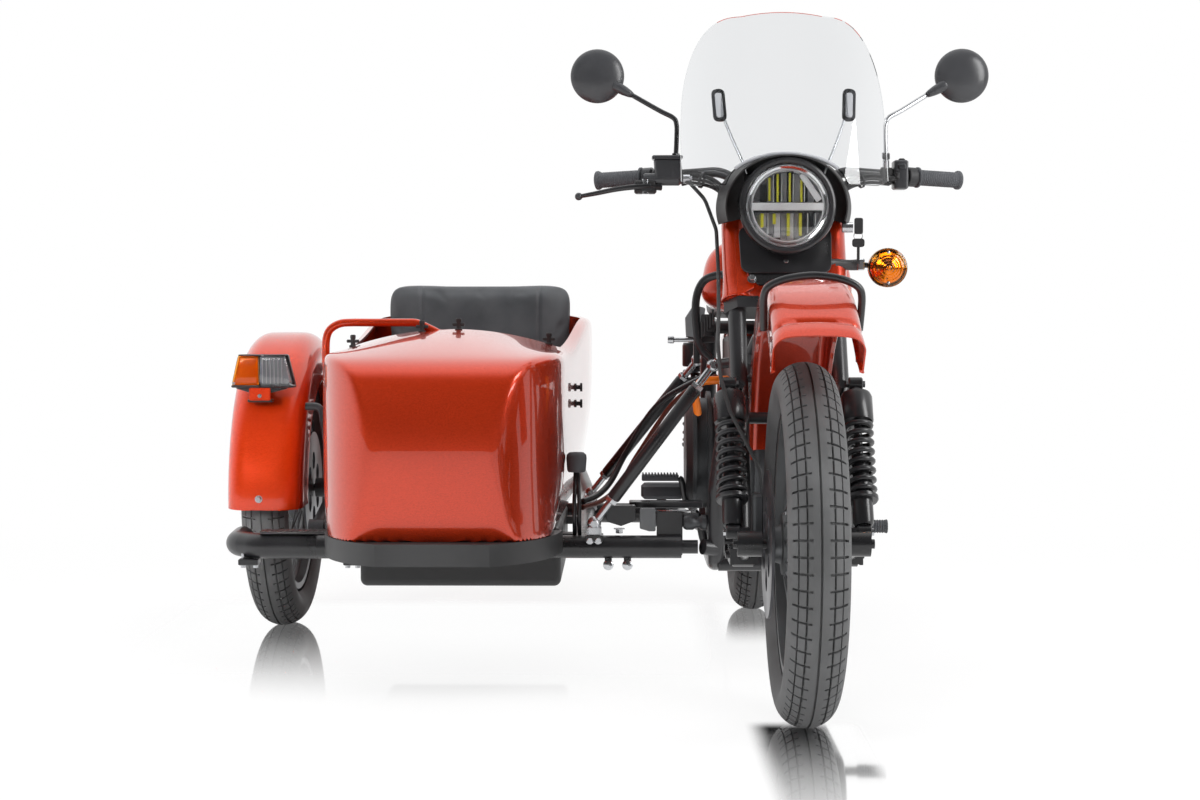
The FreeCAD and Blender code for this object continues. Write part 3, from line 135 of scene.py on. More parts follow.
def outward(piece):
    """Turn every face of a closed piece outwards."""
    work = bmesh.new()
    work.from_mesh(piece.data)
    bmesh.ops.remove_doubles(work, verts=work.verts, dist=1e-6)
    bmesh.ops.recalc_face_normals(work, faces=work.faces)
    work.to_mesh(piece.data)
    work.free()
    return piece


def sharpen(piece, degrees=35.0):
    """Keep edges steeper than an angle crisp."""
    active(piece)
    bpy.ops.object.shade_smooth_by_angle(angle=math.radians(degrees))
    return piece


def modified(piece, kind, **settings):
    """Apply a modifier with its settings."""
    change = piece.modifiers.new("change", kind)
    for label, value in settings.items():
        setattr(change, label, value)
    active(piece)
    bpy.ops.object.modifier_apply(modifier=change.name)
    return piece


def cut_out(piece, form, operation="DIFFERENCE"):
    """Take a closed form away from a piece, or keep only what both share, and drop the form."""
    modified(piece, "BOOLEAN", operation=operation, solver="EXACT", object=form)
    bpy.data.objects.remove(form)
    return piece


def reshape(piece, move):
    """Move all points of a piece at once by a function of their places in the bike's millimetres."""
    points = np.empty(len(piece.data.vertices) * 3)
    piece.data.vertices.foreach_get("co", points)
    moved = move((points.reshape(-1, 3) - ZERO) / MM) * MM + ZERO
    piece.data.vertices.foreach_set("co", moved.ravel())
    piece.data.update()
    return piece


def paint(piece, *materials):
    """Give a piece its materials, in slot order."""
    piece.data.materials.clear()
    for material in materials:
        piece.data.materials.append(material)
    return piece


def placed(name, parts, body, slot, *nodes):
    """Join parts to one named piece; say what it moves with and what it stands for; the slot for whose finish
    it takes is not used.
    """
    piece = active(parts[0])
    if len(parts) > 1:
        for part in parts:
            part.select_set(True)
        bpy.ops.object.join()
    piece.name = piece.data.name = name
    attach(piece, body)
    if nodes:
        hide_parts(*nodes)
    return piece


# Shared effects

def new_group(name, inputs, outputs):
    """A shader node group with named number inputs and outputs, and its object coordinates."""
    group = bpy.data.node_groups.new(name, "ShaderNodeTree")
    for label, value in inputs.items():
        socket = group.interface.new_socket(name=label, in_out="INPUT", socket_type="NodeSocketFloat")
        socket.default_value = value
    for label in outputs:
        group.interface.new_socket(name=label, in_out="OUTPUT", socket_type="NodeSocketFloat")
    place = group.nodes.new("ShaderNodeTexCoord")
    entry, leave = group.nodes.new("NodeGroupInput"), group.nodes.new("NodeGroupOutput")

    def texture(kind, scale=None, **values):
        """A texture on the object coordinates; its scale is a number or one of the group's inputs."""
        node = group.nodes.new(kind)
        group.links.new(place.outputs["Object"], node.inputs["Vector"])
        if isinstance(scale, str):
            group.links.new(entry.outputs[scale], node.inputs["Scale"])
        elif scale:
            node.inputs["Scale"].default_value = scale
        for label, value in values.items():
            node.inputs[label].default_value = value
        return node

    return group, texture, leave


def grain_group():
    """Fine uneven grain: two layers of noise give a height and a slow blotch mask."""
    inputs = {"Scale": 400.0, "Blotch Scale": 8.0}
    group, texture, leave = new_group("surface_grain", inputs, ("Height", "Blotch"))
    fine = texture("ShaderNodeTexNoise", "Scale", Detail=4.0)
    slow = texture("ShaderNodeTexNoise", "Blotch Scale", Detail=3.0)
    group.links.new(fine.outputs["Fac"], leave.inputs["Height"])
    group.links.new(slow.outputs["Fac"], leave.inputs["Blotch"])
    return group


def pebble_group():
    """Pebbled vinyl: the edges of small cells, and a noise that shades them."""
    group, texture, leave = new_group("pebble_grain", {"Scale": 500.0}, ("Height", "Shade"))
    cells = texture("ShaderNodeTexVoronoi", "Scale")
    cells.feature = "DISTANCE_TO_EDGE"
    noise = texture("ShaderNodeTexNoise", 14.0, Detail=5.0)
    edges = group.nodes.new("ShaderNodeMapRange")
    edges.inputs["From Max"].default_value = 0.25
    group.links.new(cells.outputs["Distance"], edges.inputs["Value"])
    group.links.new(edges.outputs["Result"], leave.inputs["Height"])
    group.links.new(noise.outputs["Fac"], leave.inputs["Shade"])
    return group


def flake_group():
    """Metallic flakes: tiny cells, each with its own brightness."""
    group, texture, leave = new_group("paint_flake", {"Scale": 1800.0}, ("Sparkle", "Drift"))
    cells = texture("ShaderNodeTexVoronoi", "Scale")
    noise = texture("ShaderNodeTexNoise", 2.5)
    split = group.nodes.new("ShaderNodeSeparateColor")
    group.links.new(cells.outputs["Color"], split.inputs["Color"])
    group.links.new(split.outputs["Red"], leave.inputs["Sparkle"])
    group.links.new(noise.outputs["Fac"], leave.inputs["Drift"])
    return group


GRAIN, PEBBLE, FLAKE = grain_group(), pebble_group(), flake_group()


def new_material(name, group, **values):
    """A material with a node group and its values; a function that links or sets a shader's input."""
    material = bpy.data.materials.new(name)
    material.use_nodes = True
    tree = material.node_tree
    shader = tree.nodes["Principled BSDF"]
    effect = tree.nodes.new("ShaderNodeGroup")
    effect.node_tree = group
    for label, value in values.items():
        effect.inputs[label.replace("_", " ")].default_value = value

    def give(label, value):
        """Link an output to a shader input, or set the input to a number."""
        if isinstance(value, float):
            shader.inputs[label].default_value = value
        else:
            tree.links.new(value, shader.inputs[label])

    return material, tree, effect.outputs, give


def colour_mix(tree, factor, low, high):
    """A colour between two, by a factor socket."""
    mix = tree.nodes.new("ShaderNodeMix")
    mix.data_type = "RGBA"
    mix.inputs["A"].default_value = (*low, 1.0)
    mix.inputs["B"].default_value = (*high, 1.0)
    tree.links.new(factor, mix.inputs["Factor"])
    return mix.outputs["Result"]


def ramp(tree, value, start, end, low, high, curve="LINEAR"):
    """A value mapped from a start and end to a low and high."""
    node = tree.nodes.new("ShaderNodeMapRange")
    node.interpolation_type = curve
    for label, number in (("From Min", start), ("From Max", end), ("To Min", low), ("To Max", high)):
        node.inputs[label].default_value = number
    tree.links.new(value, node.inputs["Value"])
    return node.outputs["Result"]


def spread(tree, mask, low, high):
    """A noise's middle part, stretched between two numbers."""
    return ramp(tree, mask, 0.35, 0.65, low, high)


def bump(tree, height, strength, distance):
    """A bump normal from a height socket."""
    node = tree.nodes.new("ShaderNodeBump")
    node.inputs["Strength"].default_value = strength
    node.inputs["Distance"].default_value = distance
    tree.links.new(height, node.inputs["Height"])
    return node.outputs["Normal"]


def grained(name, dark, light, rough, metal=0.0, scale=500.0, blotch=9.0, relief=0.15, depth=0.0002,
            coat=0.0, coat_rough=0.05):
    """A finish with two close colours in slow blotches, uneven gloss and fine relief."""
    material, tree, grain, give = new_material(name, GRAIN, Scale=scale, Blotch_Scale=blotch)
    give("Base Color", colour_mix(tree, spread(tree, grain["Blotch"], 0, 1), dark, light))
    give("Roughness", spread(tree, grain["Blotch"], *rough))
    give("Normal", bump(tree, grain["Height"], relief, depth))
    give("Metallic", metal)
    give("Coat Weight", coat)
    give("Coat Roughness", coat_rough)
    return material


def metallic_orange():
    """Burnt-orange metallic paint: flakes under a clear coat, a little deeper in slow drifts."""
    material, tree, flake, give = new_material("metallic_orange", FLAKE, Scale=2400.0)
    drift = colour_mix(tree, spread(tree, flake["Drift"], 0, 1), (0.56, 0.032, 0.002), (0.64, 0.040, 0.003))
    sparkle = tree.nodes.new("ShaderNodeMix")
    sparkle.data_type = "RGBA"
    sparkle.blend_type = "MULTIPLY"
    sparkle.inputs["Factor"].default_value = 0.22
    tree.links.new(drift, sparkle.inputs["A"])
    tree.links.new(flake["Sparkle"], sparkle.inputs["B"])
    give("Base Color", sparkle.outputs["Result"])
    give("Roughness", ramp(tree, flake["Sparkle"], 0.0, 1.0, 0.24, 0.36))
    give("Metallic", 0.55)
    give("Coat Weight", 1.0)
    give("Coat Roughness", 0.02)
    return material


def pebbled_vinyl():
    """Dark grey seat vinyl with a pebbled grain."""
    material, tree, pebble, give = new_material("pebbled_vinyl", PEBBLE, Scale=620.0)
    shade = spread(tree, pebble["Shade"], 0, 1)
    give("Base Color", colour_mix(tree, shade, (0.056, 0.059, 0.064), (0.080, 0.084, 0.090)))
    give("Roughness", spread(tree, pebble["Shade"], 0.42, 0.58))
    give("Normal", bump(tree, pebble["Height"], 0.35, 0.0003))
    return material


def clear_plastic(name, tint, rough=0.02):
    """A clear or tinted lens."""
    material, tree, grain, give = new_material(name, GRAIN, Scale=30.0, Blotch_Scale=3.0)
    give("Base Color", colour_mix(tree, grain["Blotch"], tint, tuple(min(1.0, c * 1.04) for c in tint)))
    give("Transmission Weight", 1.0)
    give("IOR", 1.49)
    give("Roughness", rough)
    return material


ORANGE = metallic_orange()
VINYL = pebbled_vinyl()
BLACK = grained("black_enamel", (0.012, 0.012, 0.013), (0.020, 0.020, 0.022), (0.26, 0.38), scale=700.0,
                relief=0.08, coat=0.25, coat_rough=0.12)
SATIN_BLACK = grained("satin_black", (0.034, 0.034, 0.035), (0.048, 0.048, 0.049), (0.38, 0.52), scale=900.0)
MIRROR_BACK = grained("mirror_black", (0.034, 0.035, 0.038), (0.046, 0.047, 0.051), (0.26, 0.36),
                      scale=1100.0, coat=0.15, coat_rough=0.2)
PLASTIC = grained("black_plastic", (0.020, 0.020, 0.021), (0.030, 0.030, 0.031), (0.45, 0.60), scale=1400.0)
GREY_PLASTIC = grained("grey_plastic", (0.10, 0.105, 0.11), (0.14, 0.145, 0.15), (0.4, 0.5), scale=900.0)
RUBBER = grained("tyre_rubber", (0.078, 0.079, 0.080), (0.108, 0.109, 0.111), (0.58, 0.75), scale=900.0,
                 blotch=14.0, relief=0.3, depth=0.0003)
GRIP_RUBBER = grained("grip_rubber", (0.055, 0.058, 0.064), (0.075, 0.078, 0.085), (0.55, 0.7), scale=1200.0)
ALLOY = grained("cast_alloy", (0.30, 0.31, 0.32), (0.42, 0.43, 0.45), (0.34, 0.5), metal=0.9, scale=900.0,
                relief=0.25, depth=0.0003)
# Rims: darker than the cast alloy, partly the rims' own tone and partly painted shade, since the front rim
# sits in shadow inside its wheel.
RIM_ALLOY_AND_SHADE = grained("rim_alloy_with_painted_shade", (0.15, 0.155, 0.16), (0.21, 0.215, 0.22), (0.35, 0.5), metal=0.8,
                    scale=900.0)
DARK_ALLOY = grained("dark_alloy", (0.045, 0.047, 0.050), (0.075, 0.078, 0.082), (0.35, 0.5), metal=0.6,
                     scale=800.0, relief=0.3, depth=0.0004)
STEEL = grained("bright_steel", (0.55, 0.56, 0.58), (0.66, 0.67, 0.69), (0.2, 0.32), metal=1.0, scale=1500.0)
DISC_STEEL = grained("disc_steel", (0.10, 0.10, 0.11), (0.16, 0.16, 0.17), (0.3, 0.42), metal=0.9,
                     scale=1500.0)
CHROME = grained("chrome_plate", (0.80, 0.81, 0.83), (0.86, 0.87, 0.88), (0.05, 0.10), metal=1.0, scale=200.0,
                 relief=0.02)
# The orange paint made dark red: painted shade for the mudguards' undersides.
UNDERSIDE_PAINTED_SHADE = grained("orange_in_painted_shade", (0.050, 0.008, 0.006), (0.080, 0.012, 0.009), (0.4, 0.55))
CABLE = grained("orange_cable", (0.80, 0.17, 0.01), (0.90, 0.22, 0.02), (0.4, 0.5), scale=600.0)
CABLE_BROWN = grained("brown_cable", (0.075, 0.016, 0.010), (0.11, 0.025, 0.015), (0.4, 0.5), scale=600.0)
SCREEN = clear_plastic("clear_screen", (0.86, 0.87, 0.88))
AMBER = clear_plastic("amber_lens", (1.0, 0.46, 0.06), 0.08)
RED_LENS = clear_plastic("red_lens", (0.75, 0.02, 0.02), 0.08)
CLEAR_LENS = clear_plastic("clear_lens", (0.98, 0.98, 0.98), 0.01)
LIGHT_BAR = grained("light_bar", (0.78, 0.80, 0.82), (0.86, 0.87, 0.88), (0.15, 0.25), scale=300.0)
# Dark reflector slats; the same finish is also the painted shade under the headlamp's light bar.
SLAT_AND_SHADE = grained("reflector_slat_and_painted_shade", (0.10, 0.11, 0.12), (0.20, 0.21, 0.22), (0.12, 0.25), metal=0.9)
LAMP_GREY = grained("reflector_grey", (0.30, 0.31, 0.33), (0.42, 0.43, 0.45), (0.2, 0.3), metal=0.1)
LAMP_SILVER = grained("reflector_silver", (0.62, 0.63, 0.65), (0.74, 0.75, 0.77), (0.15, 0.25), metal=0.2)
YELLOW_ORANGE = grained("amber_reflector", (0.86, 0.42, 0.06), (0.95, 0.55, 0.10), (0.2, 0.3))
YELLOW_STRIPE = grained("yellow_stripe", (0.62, 0.60, 0.03), (0.74, 0.70, 0.05), (0.3, 0.4), scale=400.0)

# The CAD pieces, each with its finish

FINISHES = (
    (ORANGE, "fuel_tank fork_covers front_fender rear_fender sidecar_fender sidecar_tub grab_rail trunk_lid"),
    (BLACK, "main_frame swing_arm sidecar_frame sidecar_struts fork leading_link front_shocks rear_shocks "
            "sidecar_shock fender_rail sidecar_swing_arm drive_cradle footrests mirrors handlebar headlamp"),
    (SATIN_BLACK, "headlamp_nacelle sidecar_step battery_box battery_block nose_skirt"),
    (PLASTIC, "windscreen_brackets hand_controls number_plate brake_hose"),
    (DARK_ALLOY, "drive_housing gear_block front_caliper"),
    (ALLOY, "final_drive"),
    (RIM_ALLOY_AND_SHADE, "front_wheel_rim rear_wheel_rim sidecar_wheel_rim"),
    (DISC_STEEL, "front_brake_disc rear_brake_disc sidecar_brake_disc"),
    (VINYL, "rider_saddle sidecar_cushion sidecar_backrest"),
    (RUBBER, "front_tyre rear_tyre sidecar_tyre"),
    (GRIP_RUBBER, "grips"), (CABLE, "power_cables"), (SCREEN, "windscreen"),
    (AMBER, "turn_signal fender_lamp"), (RED_LENS, "tail_lamp"),
)
for material, names in FINISHES:
    for node in names.split():
        paint(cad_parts[node], material)


# Lines and outlines

def smooth_line(points, steps):
    """A smooth line through points: Catmull-Rom, with the ends carried on."""
    points = np.array(points, dtype=float)
    padded = np.vstack([2 * points[0] - points[1], points, 2 * points[-1] - points[-2]])
    t = np.linspace(0, 1, steps, endpoint=False)[:, None]
    runs = [0.5 * (2 * b + (c - a) * t + (2 * a - 5 * b + 4 * c - d) * t ** 2
                   + (3 * b - a - 3 * c + d) * t ** 3)
            for a, b, c, d in zip(padded, padded[1:], padded[2:], padded[3:])]
    return np.vstack(runs + [points[-1:]])


def spline(where, knots, values):
    """A natural cubic curve through (knot, value) pairs, read at given places and held beyond the ends."""
    knots, values = np.array(knots, dtype=float), np.array(values, dtype=float)
    step = np.diff(knots)
    slope = np.diff(values) / step
    count = len(knots)
    system, right = np.eye(count), np.zeros(count)
    for index in range(1, count - 1):
        system[index, index - 1:index + 2] = step[index - 1], 2 * (step[index - 1] + step[index]), step[index]
        right[index] = 6 * (slope[index] - slope[index - 1])
    bend = np.linalg.solve(system, right)
    spot = np.clip(np.asarray(where, dtype=float), knots[0], knots[-1])
    cell = np.clip(np.searchsorted(knots, spot) - 1, 0, count - 2)
    low, high, width = knots[cell + 1] - spot, spot - knots[cell], step[cell]
    return ((bend[cell] * low ** 3 + bend[cell + 1] * high ** 3) / (6 * width)
            + (values[cell] / width - bend[cell] * width / 6) * low
            + (values[cell + 1] / width - bend[cell + 1] * width / 6) * high)


def rounded_outline(x_low, x_high, y_low, y_high, radius, steps=10):
    """A rectangle with round corners, counter-clockwise, as (x, y) pairs."""
    turn = np.linspace(0, math.pi / 2, steps)
    corners = ((x_high - radius, y_low + radius, -math.pi / 2), (x_high - radius, y_high - radius, 0.0),
               (x_low + radius, y_high - radius, math.pi / 2), (x_low + radius, y_low + radius, math.pi))
    return np.vstack([np.column_stack([x + radius * np.cos(start + turn), y + radius * np.sin(start + turn)])
                      for x, y, start in corners])


def rounded_polygon(corners, radius, steps=8):
    """A closed outline of (x, y) pairs with each corner rounded by a curve that touches both sides."""
    corners = np.array(corners, dtype=float)
    share = np.linspace(0, 1, steps)[:, None]
    runs = []
    for before, corner, after in zip(np.roll(corners, 1, axis=0), corners, np.roll(corners, -1, axis=0)):
        into, out = unit(before - corner), unit(after - corner)
        reach = radius / math.tan(0.5 * math.acos(np.clip(np.dot(into, out), -1, 1)))
        first, last = corner + into * reach, corner + out * reach
        runs.append((1 - share) ** 2 * first + 2 * share * (1 - share) * corner + share ** 2 * last)
    return np.vstack(runs)


# Shared forms; sizes in millimetres, origins and starts in metres

AXIS_RADIUS = 0.1
PLATE_BEVEL = 1.2


def cross_directions(axis):
    """Two directions square to an axis and to each other."""
    side = unit(np.cross(axis, Z if abs(axis[2]) < 0.9 else X))
    return side, np.cross(axis, side)


def turned(profile, origin, way, finish, steps=28, crisp=35.0, closed=False, flat=False):
    """(length along, radius) pairs turned about a direction: a solid closed at the axis, or a closed ring.

    A ring's width and height follow the length of its direction; a solid takes it as length one."""
    profile = [tuple(pair) for pair in profile]
    if not closed and profile[0][1] > 1.01 * AXIS_RADIUS:
        profile.insert(0, (profile[0][0], AXIS_RADIUS))
    if not closed and profile[-1][1] > 1.01 * AXIS_RADIUS:
        profile.append((profile[-1][0], AXIS_RADIUS))
    axis = np.array(way, dtype=float) if closed else unit(way)
    side, up = cross_directions(axis)
    angle = around(steps)[:, None]
    ring = np.cos(angle) * side + np.sin(angle) * up
    pairs = np.array(profile, dtype=float) * MM
    points = origin + pairs[:, :1, None] * axis + pairs[:, 1:, None] * ring
    piece = grid_piece(points, close_rows=closed, close_columns=True, caps=not closed, smooth=not flat)
    if closed:
        outward(piece)
    if crisp and not flat:
        sharpen(piece, crisp)
    return paint(piece, finish)


def swept(line, radius, finish, sides=14):
    """A round tube along a line in metres, its cross directions turning as little as possible."""
    line = np.array(line, dtype=float)
    tangent = unit(np.gradient(line, axis=0))
    side = np.zeros_like(line)
    side[0] = cross_directions(tangent[0])[0]
    for index in range(1, len(line)):
        side[index] = unit(side[index - 1] - tangent[index] * np.dot(side[index - 1], tangent[index]))
    up = np.cross(tangent, side)
    angle = around(sides)[None, :, None]
    ring = np.cos(angle) * side[:, None] + np.sin(angle) * up[:, None]
    size = np.broadcast_to(np.reshape(radius, (-1, 1, 1)), (len(line), 1, 1)) * MM
    return paint(grid_piece(line[:, None] + ring * size, close_columns=True, caps=True), finish)


def tube(points, radius, finish, smooth=8, sides=14):
    """A round tube through points in the bike's millimetres, smoothed in so many steps unless that is 0."""
    line = smooth_line(points, smooth) if smooth else np.array(points, dtype=float)
    return swept(line * MM + ZERO, radius, finish, sides)


def block(low, high, edge, finish):
    """A block between two corners in the bike's millimetres: round upright edges and chamfered ends."""
    low, high = np.array(low, dtype=float), np.array(high, dtype=float)
    edge = min(edge, 0.49 * (high - low).min())
    lift = 0.6 * edge
    flat = rounded_outline(low[0], high[0], low[1], high[1], edge, 4)
    middle = 0.5 * (low + high)[:2]
    shrunk = (flat - middle) * (1 - lift / (0.5 * (high - low)[:2])) + middle
    levels = ((shrunk, low[2]), (flat, low[2] + lift), (flat, high[2] - lift), (shrunk, high[2]))
    points = np.stack([np.column_stack([ring, np.full(len(ring), z)]) for ring, z in levels])
    return paint(sharpen(grid_piece(points * MM + ZERO, close_columns=True, caps=True), 30), finish)


def plate(corners, radius, start, thickness, finish, across=X, up=Z):
    """A flat plate: a rounded outline in two directions from a start, pushed along their cross product."""
    outline = rounded_polygon(corners, radius) * MM
    across, up = np.array(across), np.array(up)
    depth = np.cross(across, up) * MM
    flat = start + outline[:, :1] * across + outline[:, 1:] * up
    bevel = min(PLATE_BEVEL, 0.3 * thickness)
    middle = flat.mean(axis=0)
    reach = np.maximum(np.linalg.norm(flat - middle, axis=1, keepdims=True), 4 * MM)
    drawn = middle + (flat - middle) * (1 - bevel * MM / reach)
    rings = np.stack([drawn, flat + depth * bevel, flat + depth * (thickness - bevel),
                      drawn + depth * thickness])
    return paint(sharpen(outward(grid_piece(rings, close_columns=True, caps=True)), 30), finish)


def bolt(spot, way, across, washer=True):
    """A six-sided head on a thin round washer, both turned about a direction from a point."""
    radius = across / 2
    base = 0.18 * radius if washer else 0.0
    head = [(base, radius), (base + 0.9 * radius, radius), (base + 1.02 * radius, 0.86 * radius)]
    parts = [turned(head, spot, way, STEEL, 6, flat=True)]
    if washer:
        parts.append(turned([(0, 1.35 * radius), (base, 1.35 * radius)], spot, way, STEEL, 24))
    return parts


def ball(radius, spot, way, finish, steps):
    """A ball turned about a direction: radius times cosine and sine."""
    turn = np.linspace(0.02, math.pi - 0.02, 14)
    profile = np.column_stack([-radius * np.cos(turn), radius * np.sin(turn)])
    return turned(profile, spot, way, finish, steps, crisp=None)


def blocks(*rows):
    """Several blocks, each given as two corners, an edge and a finish."""
    return [block(*row) for row in rows]


def plates(*rows):
    """Plates facing the front, each given as (x, z) corners, their radius, y, thickness and finish."""
    return [plate(outline, radius, at(0, y, 0), thickness, finish)
            for outline, radius, y, thickness, finish in rows]


def oblong(x_low, x_high, y_low, y_high):
    """A rectangle's four corners."""
    return [(x_low, y_low), (x_high, y_low), (x_high, y_high), (x_low, y_high)]


# The sidecar body

TUB_FLOOR = 310.0
TUB_PLAN = ([-1235, -1225, -1200, -1143, -1080, -1000, -900, -400, 100, 400, 560, 620],
            [118, 133, 163, 208, 236, 254, 261, 272, 282, 268, 232, 205])
TUB_MIDDLE = ([-1250, -1000, -600, -100, 620], [-727, -727, -719, -706, -705])
TUB_NOSE = ([230, 315, 339, 381, 434, 511, 573, 611, 640, 655, 684, 720],
            [-1165, -1193, -1203, -1214, -1222, -1226, -1220, -1211, -1200, -1190, -1150, -1060])
TUB_TAIL = ([230, 330, 450, 600, 720, 800], [470, 540, 590, 600, 560, 480])
TUB_TOP = ([-1260, -1112, -750, -400, -150, 100, 400, 620], [655, 690, 742, 768, 788, 792, 778, 735])
TUB_DROP = ([-1260, -1143, -900, -750, -300, 640], [1, 2, 36, 50, 30, 44])
TUB_RISE = ([-1260, -400, -150, 100, 400, 640], [0, 0, 0, 8, 80, 150])
TUB_FLANK = ([300, 440, 620, 900], [236, 264, 287, 287])
TUB_MOUTH = [(-956, -742), (-484, -742), (-448, -100), (-958, -100)]
TUB_WALL = 6.0
TUB_LINE = (-900.0, 330.0, 530.0)


def tub_field(points, inset):
    """How far a point is outside the body's skin drawn in by an inset: a soft maximum over its sides."""
    def soft_max(first, second, softness):
        return softness * np.logaddexp(first / softness, second / softness)

    x, y, z = points[..., 0], points[..., 1], points[..., 2]
    across = np.abs(x - spline(y, *TUB_MIDDLE))
    side = across - spline(y, *TUB_PLAN) + inset
    nose = spline(z, *TUB_NOSE) + inset - y
    tail = y - spline(z, *TUB_TAIL) + inset
    top = z - spline(y, *TUB_TOP) + spline(y, *TUB_DROP) * (across / 262.0) ** 2 + inset
    floor = TUB_FLOOR + spline(y, *TUB_RISE) + inset - z
    flank = across - spline(z, *TUB_FLANK) + inset
    walls = soft_max(soft_max(side, flank, 5.0), nose, 4.5)
    return soft_max(soft_max(soft_max(walls, top, 9.0), floor, 1.5), tail, 20.0)


def tub_hull(inset, rows, columns):
    """Rays from a middle line out to where the field is zero, with a half dome of rays at each end."""
    front, back, height = TUB_LINE
    dome = rows // 4
    straight = rows - 2 * dome
    tilt = np.concatenate([np.linspace(math.pi / 2, 0, dome, endpoint=False)[1:], np.zeros(straight),
                           -np.linspace(0, math.pi / 2, dome)[1:-1]])[:, None]
    along = np.concatenate([np.full(dome - 1, front), np.linspace(front, back, straight),
                            np.full(dome - 2, back)])
    turn = around(columns)
    rays = np.stack([np.cos(tilt) * np.cos(turn), -np.sin(tilt) * np.ones_like(turn),
                     np.cos(tilt) * np.sin(turn)], axis=-1)
    starts = np.stack([spline(along, *TUB_MIDDLE), along, np.full(len(along), height)], axis=-1)[:, None, :]

    def reach(starts, rays):
        """Halve an interval on each ray until it ends at the skin."""
        low, high = np.zeros(rays.shape[:-1]), np.full(rays.shape[:-1], 700.0)
        for _ in range(26):
            middle = 0.5 * (low + high)
            outside = tub_field(starts + rays * middle[..., None], inset) > 0
            low, high = np.where(outside, low, middle), np.where(outside, middle, high)
        return starts + rays * low[..., None]

    return closed_rings(reach(starts[0], -Y[None])[0], reach(starts, rays), reach(starts[-1], Y[None])[0])


def prism(outline, low, high):
    """A closed prism: an outline of (x, y) pairs between two heights."""
    levels = [np.column_stack([outline, np.full(len(outline), z)]) for z in (low, high)]
    return grid_piece(np.stack(levels) * MM + ZERO, close_columns=True, caps=True, smooth=False)


def make_tub():
    """The hollow body: hull less two chambers, cockpit mouth and hatch; the lid, and its hinges."""
    hull = tub_hull(0.0, 240, 340)
    lid_area = prism(rounded_outline(-895, -515, 20, 470, 16), 660, 950)
    lid = cut_out(tub_hull(0.0, 120, 160), lid_area, "INTERSECT")
    cut_out(lid, tub_hull(TUB_WALL, 60, 80))
    inside = tub_hull(TUB_WALL, 72, 110)
    cut_out(inside, prism(oblong(-1100, -300, -100, -94), 100, 1100))
    for form in (inside, prism(rounded_polygon(TUB_MOUTH, 30), 640, 1000),
                 prism(rounded_outline(-901, -509, 14, 476, 20), 640, 1000)):
        cut_out(hull, form)
    hinge_side, lid_side = [], []
    for x in (-805, -605):
        for parts, near, far in ((hinge_side, -19, -0.3), (lid_side, 0.3, 19)):
            barrel = [(near, 4.5), (near + 0.6, 5), (far - 0.6, 5), (far, 4.5)]
            parts.append(turned(barrel, at(x, 8, 797), X, STEEL, 24))
        hinge_side.append(block((x - 18, -32, 786), (x - 1, 7, 795.5), 2, STEEL))
        lid_side.append(block((x + 1, 9, 791.6), (x + 18, 50, 795.8), 2, STEEL))
    placed("lid_hinge_leaves", hinge_side, "chassis", "bright_steel")
    placed("lid_leaves", lid_side, "trunk_lid", "bright_steel")
    for name, skin, body, node in (("sidecar_body_skin", hull, "chassis", "sidecar_tub"),
                                   ("trunk_lid_skin", lid, "trunk_lid", "trunk_lid")):
        placed(name, [paint(sharpen(skin, 38), ORANGE)], body, "orange_paint", node)


# Tyres

PITCHES = 72
TREAD_DEPTH = 5.5
TYRE_RADIUS = 343.0
TYRE_HALF = (55.5, 50.0)
TREAD_EDGE = 84.0
BEAD_RADIUS = 262.0
TREAD_LINES = np.array([0, 1.3, 2.1, 8, 14.6, 15.4, 22.6, 23.4, 26.1, 26.9, 33, 40.6, 41.4, 43.2, 44.0, 50,
                        56.6, 57.4, 62, 68, 76, 86, 96, 106, 114, 120])


def groove_depth(s, u):
    """Tread cuts: a thin centre groove, short slits, a main groove and cross slots over a thin divider."""
    s = np.abs(s)
    slot = np.abs(u % 1.0 - 0.5) < 0.07
    cut = np.where(s < 1.7, 0.9, 0.0)
    cut = np.where((s > 15) & (s < 23) & slot, 0.85, cut)
    cut = np.where((s >= 26.5) & (s < 57) & slot, 1.0, cut)
    cut = np.where((s >= 41) & (s < 43.6), 0.9, cut)
    return np.where((s >= 23) & (s < 26.5), 1.0, cut)


def make_tyre(wheel, middle):
    """A ring: an oval section turned about the axle, with the tread cut into its crown."""
    half_width, half_height = TYRE_HALF
    across = np.concatenate([-TREAD_LINES[:0:-1], TREAD_LINES])
    arc = np.linspace(0, math.pi, 721)
    oval = np.stack([half_width * np.sin(arc), half_height * np.cos(arc)], axis=-1)
    run = np.concatenate([[0], np.cumsum(np.linalg.norm(np.diff(oval, axis=0), axis=1))])
    angle = np.interp(np.abs(across), run, arc) * np.sign(across)
    flank = np.clip((np.abs(across) - TREAD_EDGE) / 36, 0, 1)
    x = half_width * np.sin(angle) * (1 - 0.10 * flank)
    radius = TYRE_RADIUS - half_height + half_height * np.cos(angle)
    radius = np.where(np.abs(across) > TREAD_EDGE, np.maximum(radius, 246.0), radius)
    normal = unit(np.stack([np.sin(angle) / half_width, np.cos(angle) / half_height], axis=-1))
    cell = np.array([0.0, 0.2, 0.38, 0.42, 0.44, 0.5, 0.56, 0.58, 0.62, 0.8])
    u = (np.arange(PITCHES)[:, None] + cell).reshape(-1, 1)
    depth = TREAD_DEPTH * groove_depth(across, u)
    turn = u / PITCHES * 2 * math.pi

    def rings(wide, out):
        return np.stack(np.broadcast_arrays(wide, -out * np.cos(turn), out * np.sin(turn)), axis=-1)

    crown = rings(x - normal[:, 0] * depth, radius - normal[:, 1] * depth)
    bead = rings(x[[-1, 0]] * 0.86, np.full(2, BEAD_RADIUS))
    points = np.concatenate([crown, bead], axis=1) * MM + middle
    tyre = sharpen(outward(grid_piece(points, close_rows=True, close_columns=True)), 32)
    paint(tyre, RUBBER)
    placed(wheel + "_tyre_tread", [tyre], wheel + "_wheel", "tyre_rubber", wheel + "_tyre")


# Spring legs

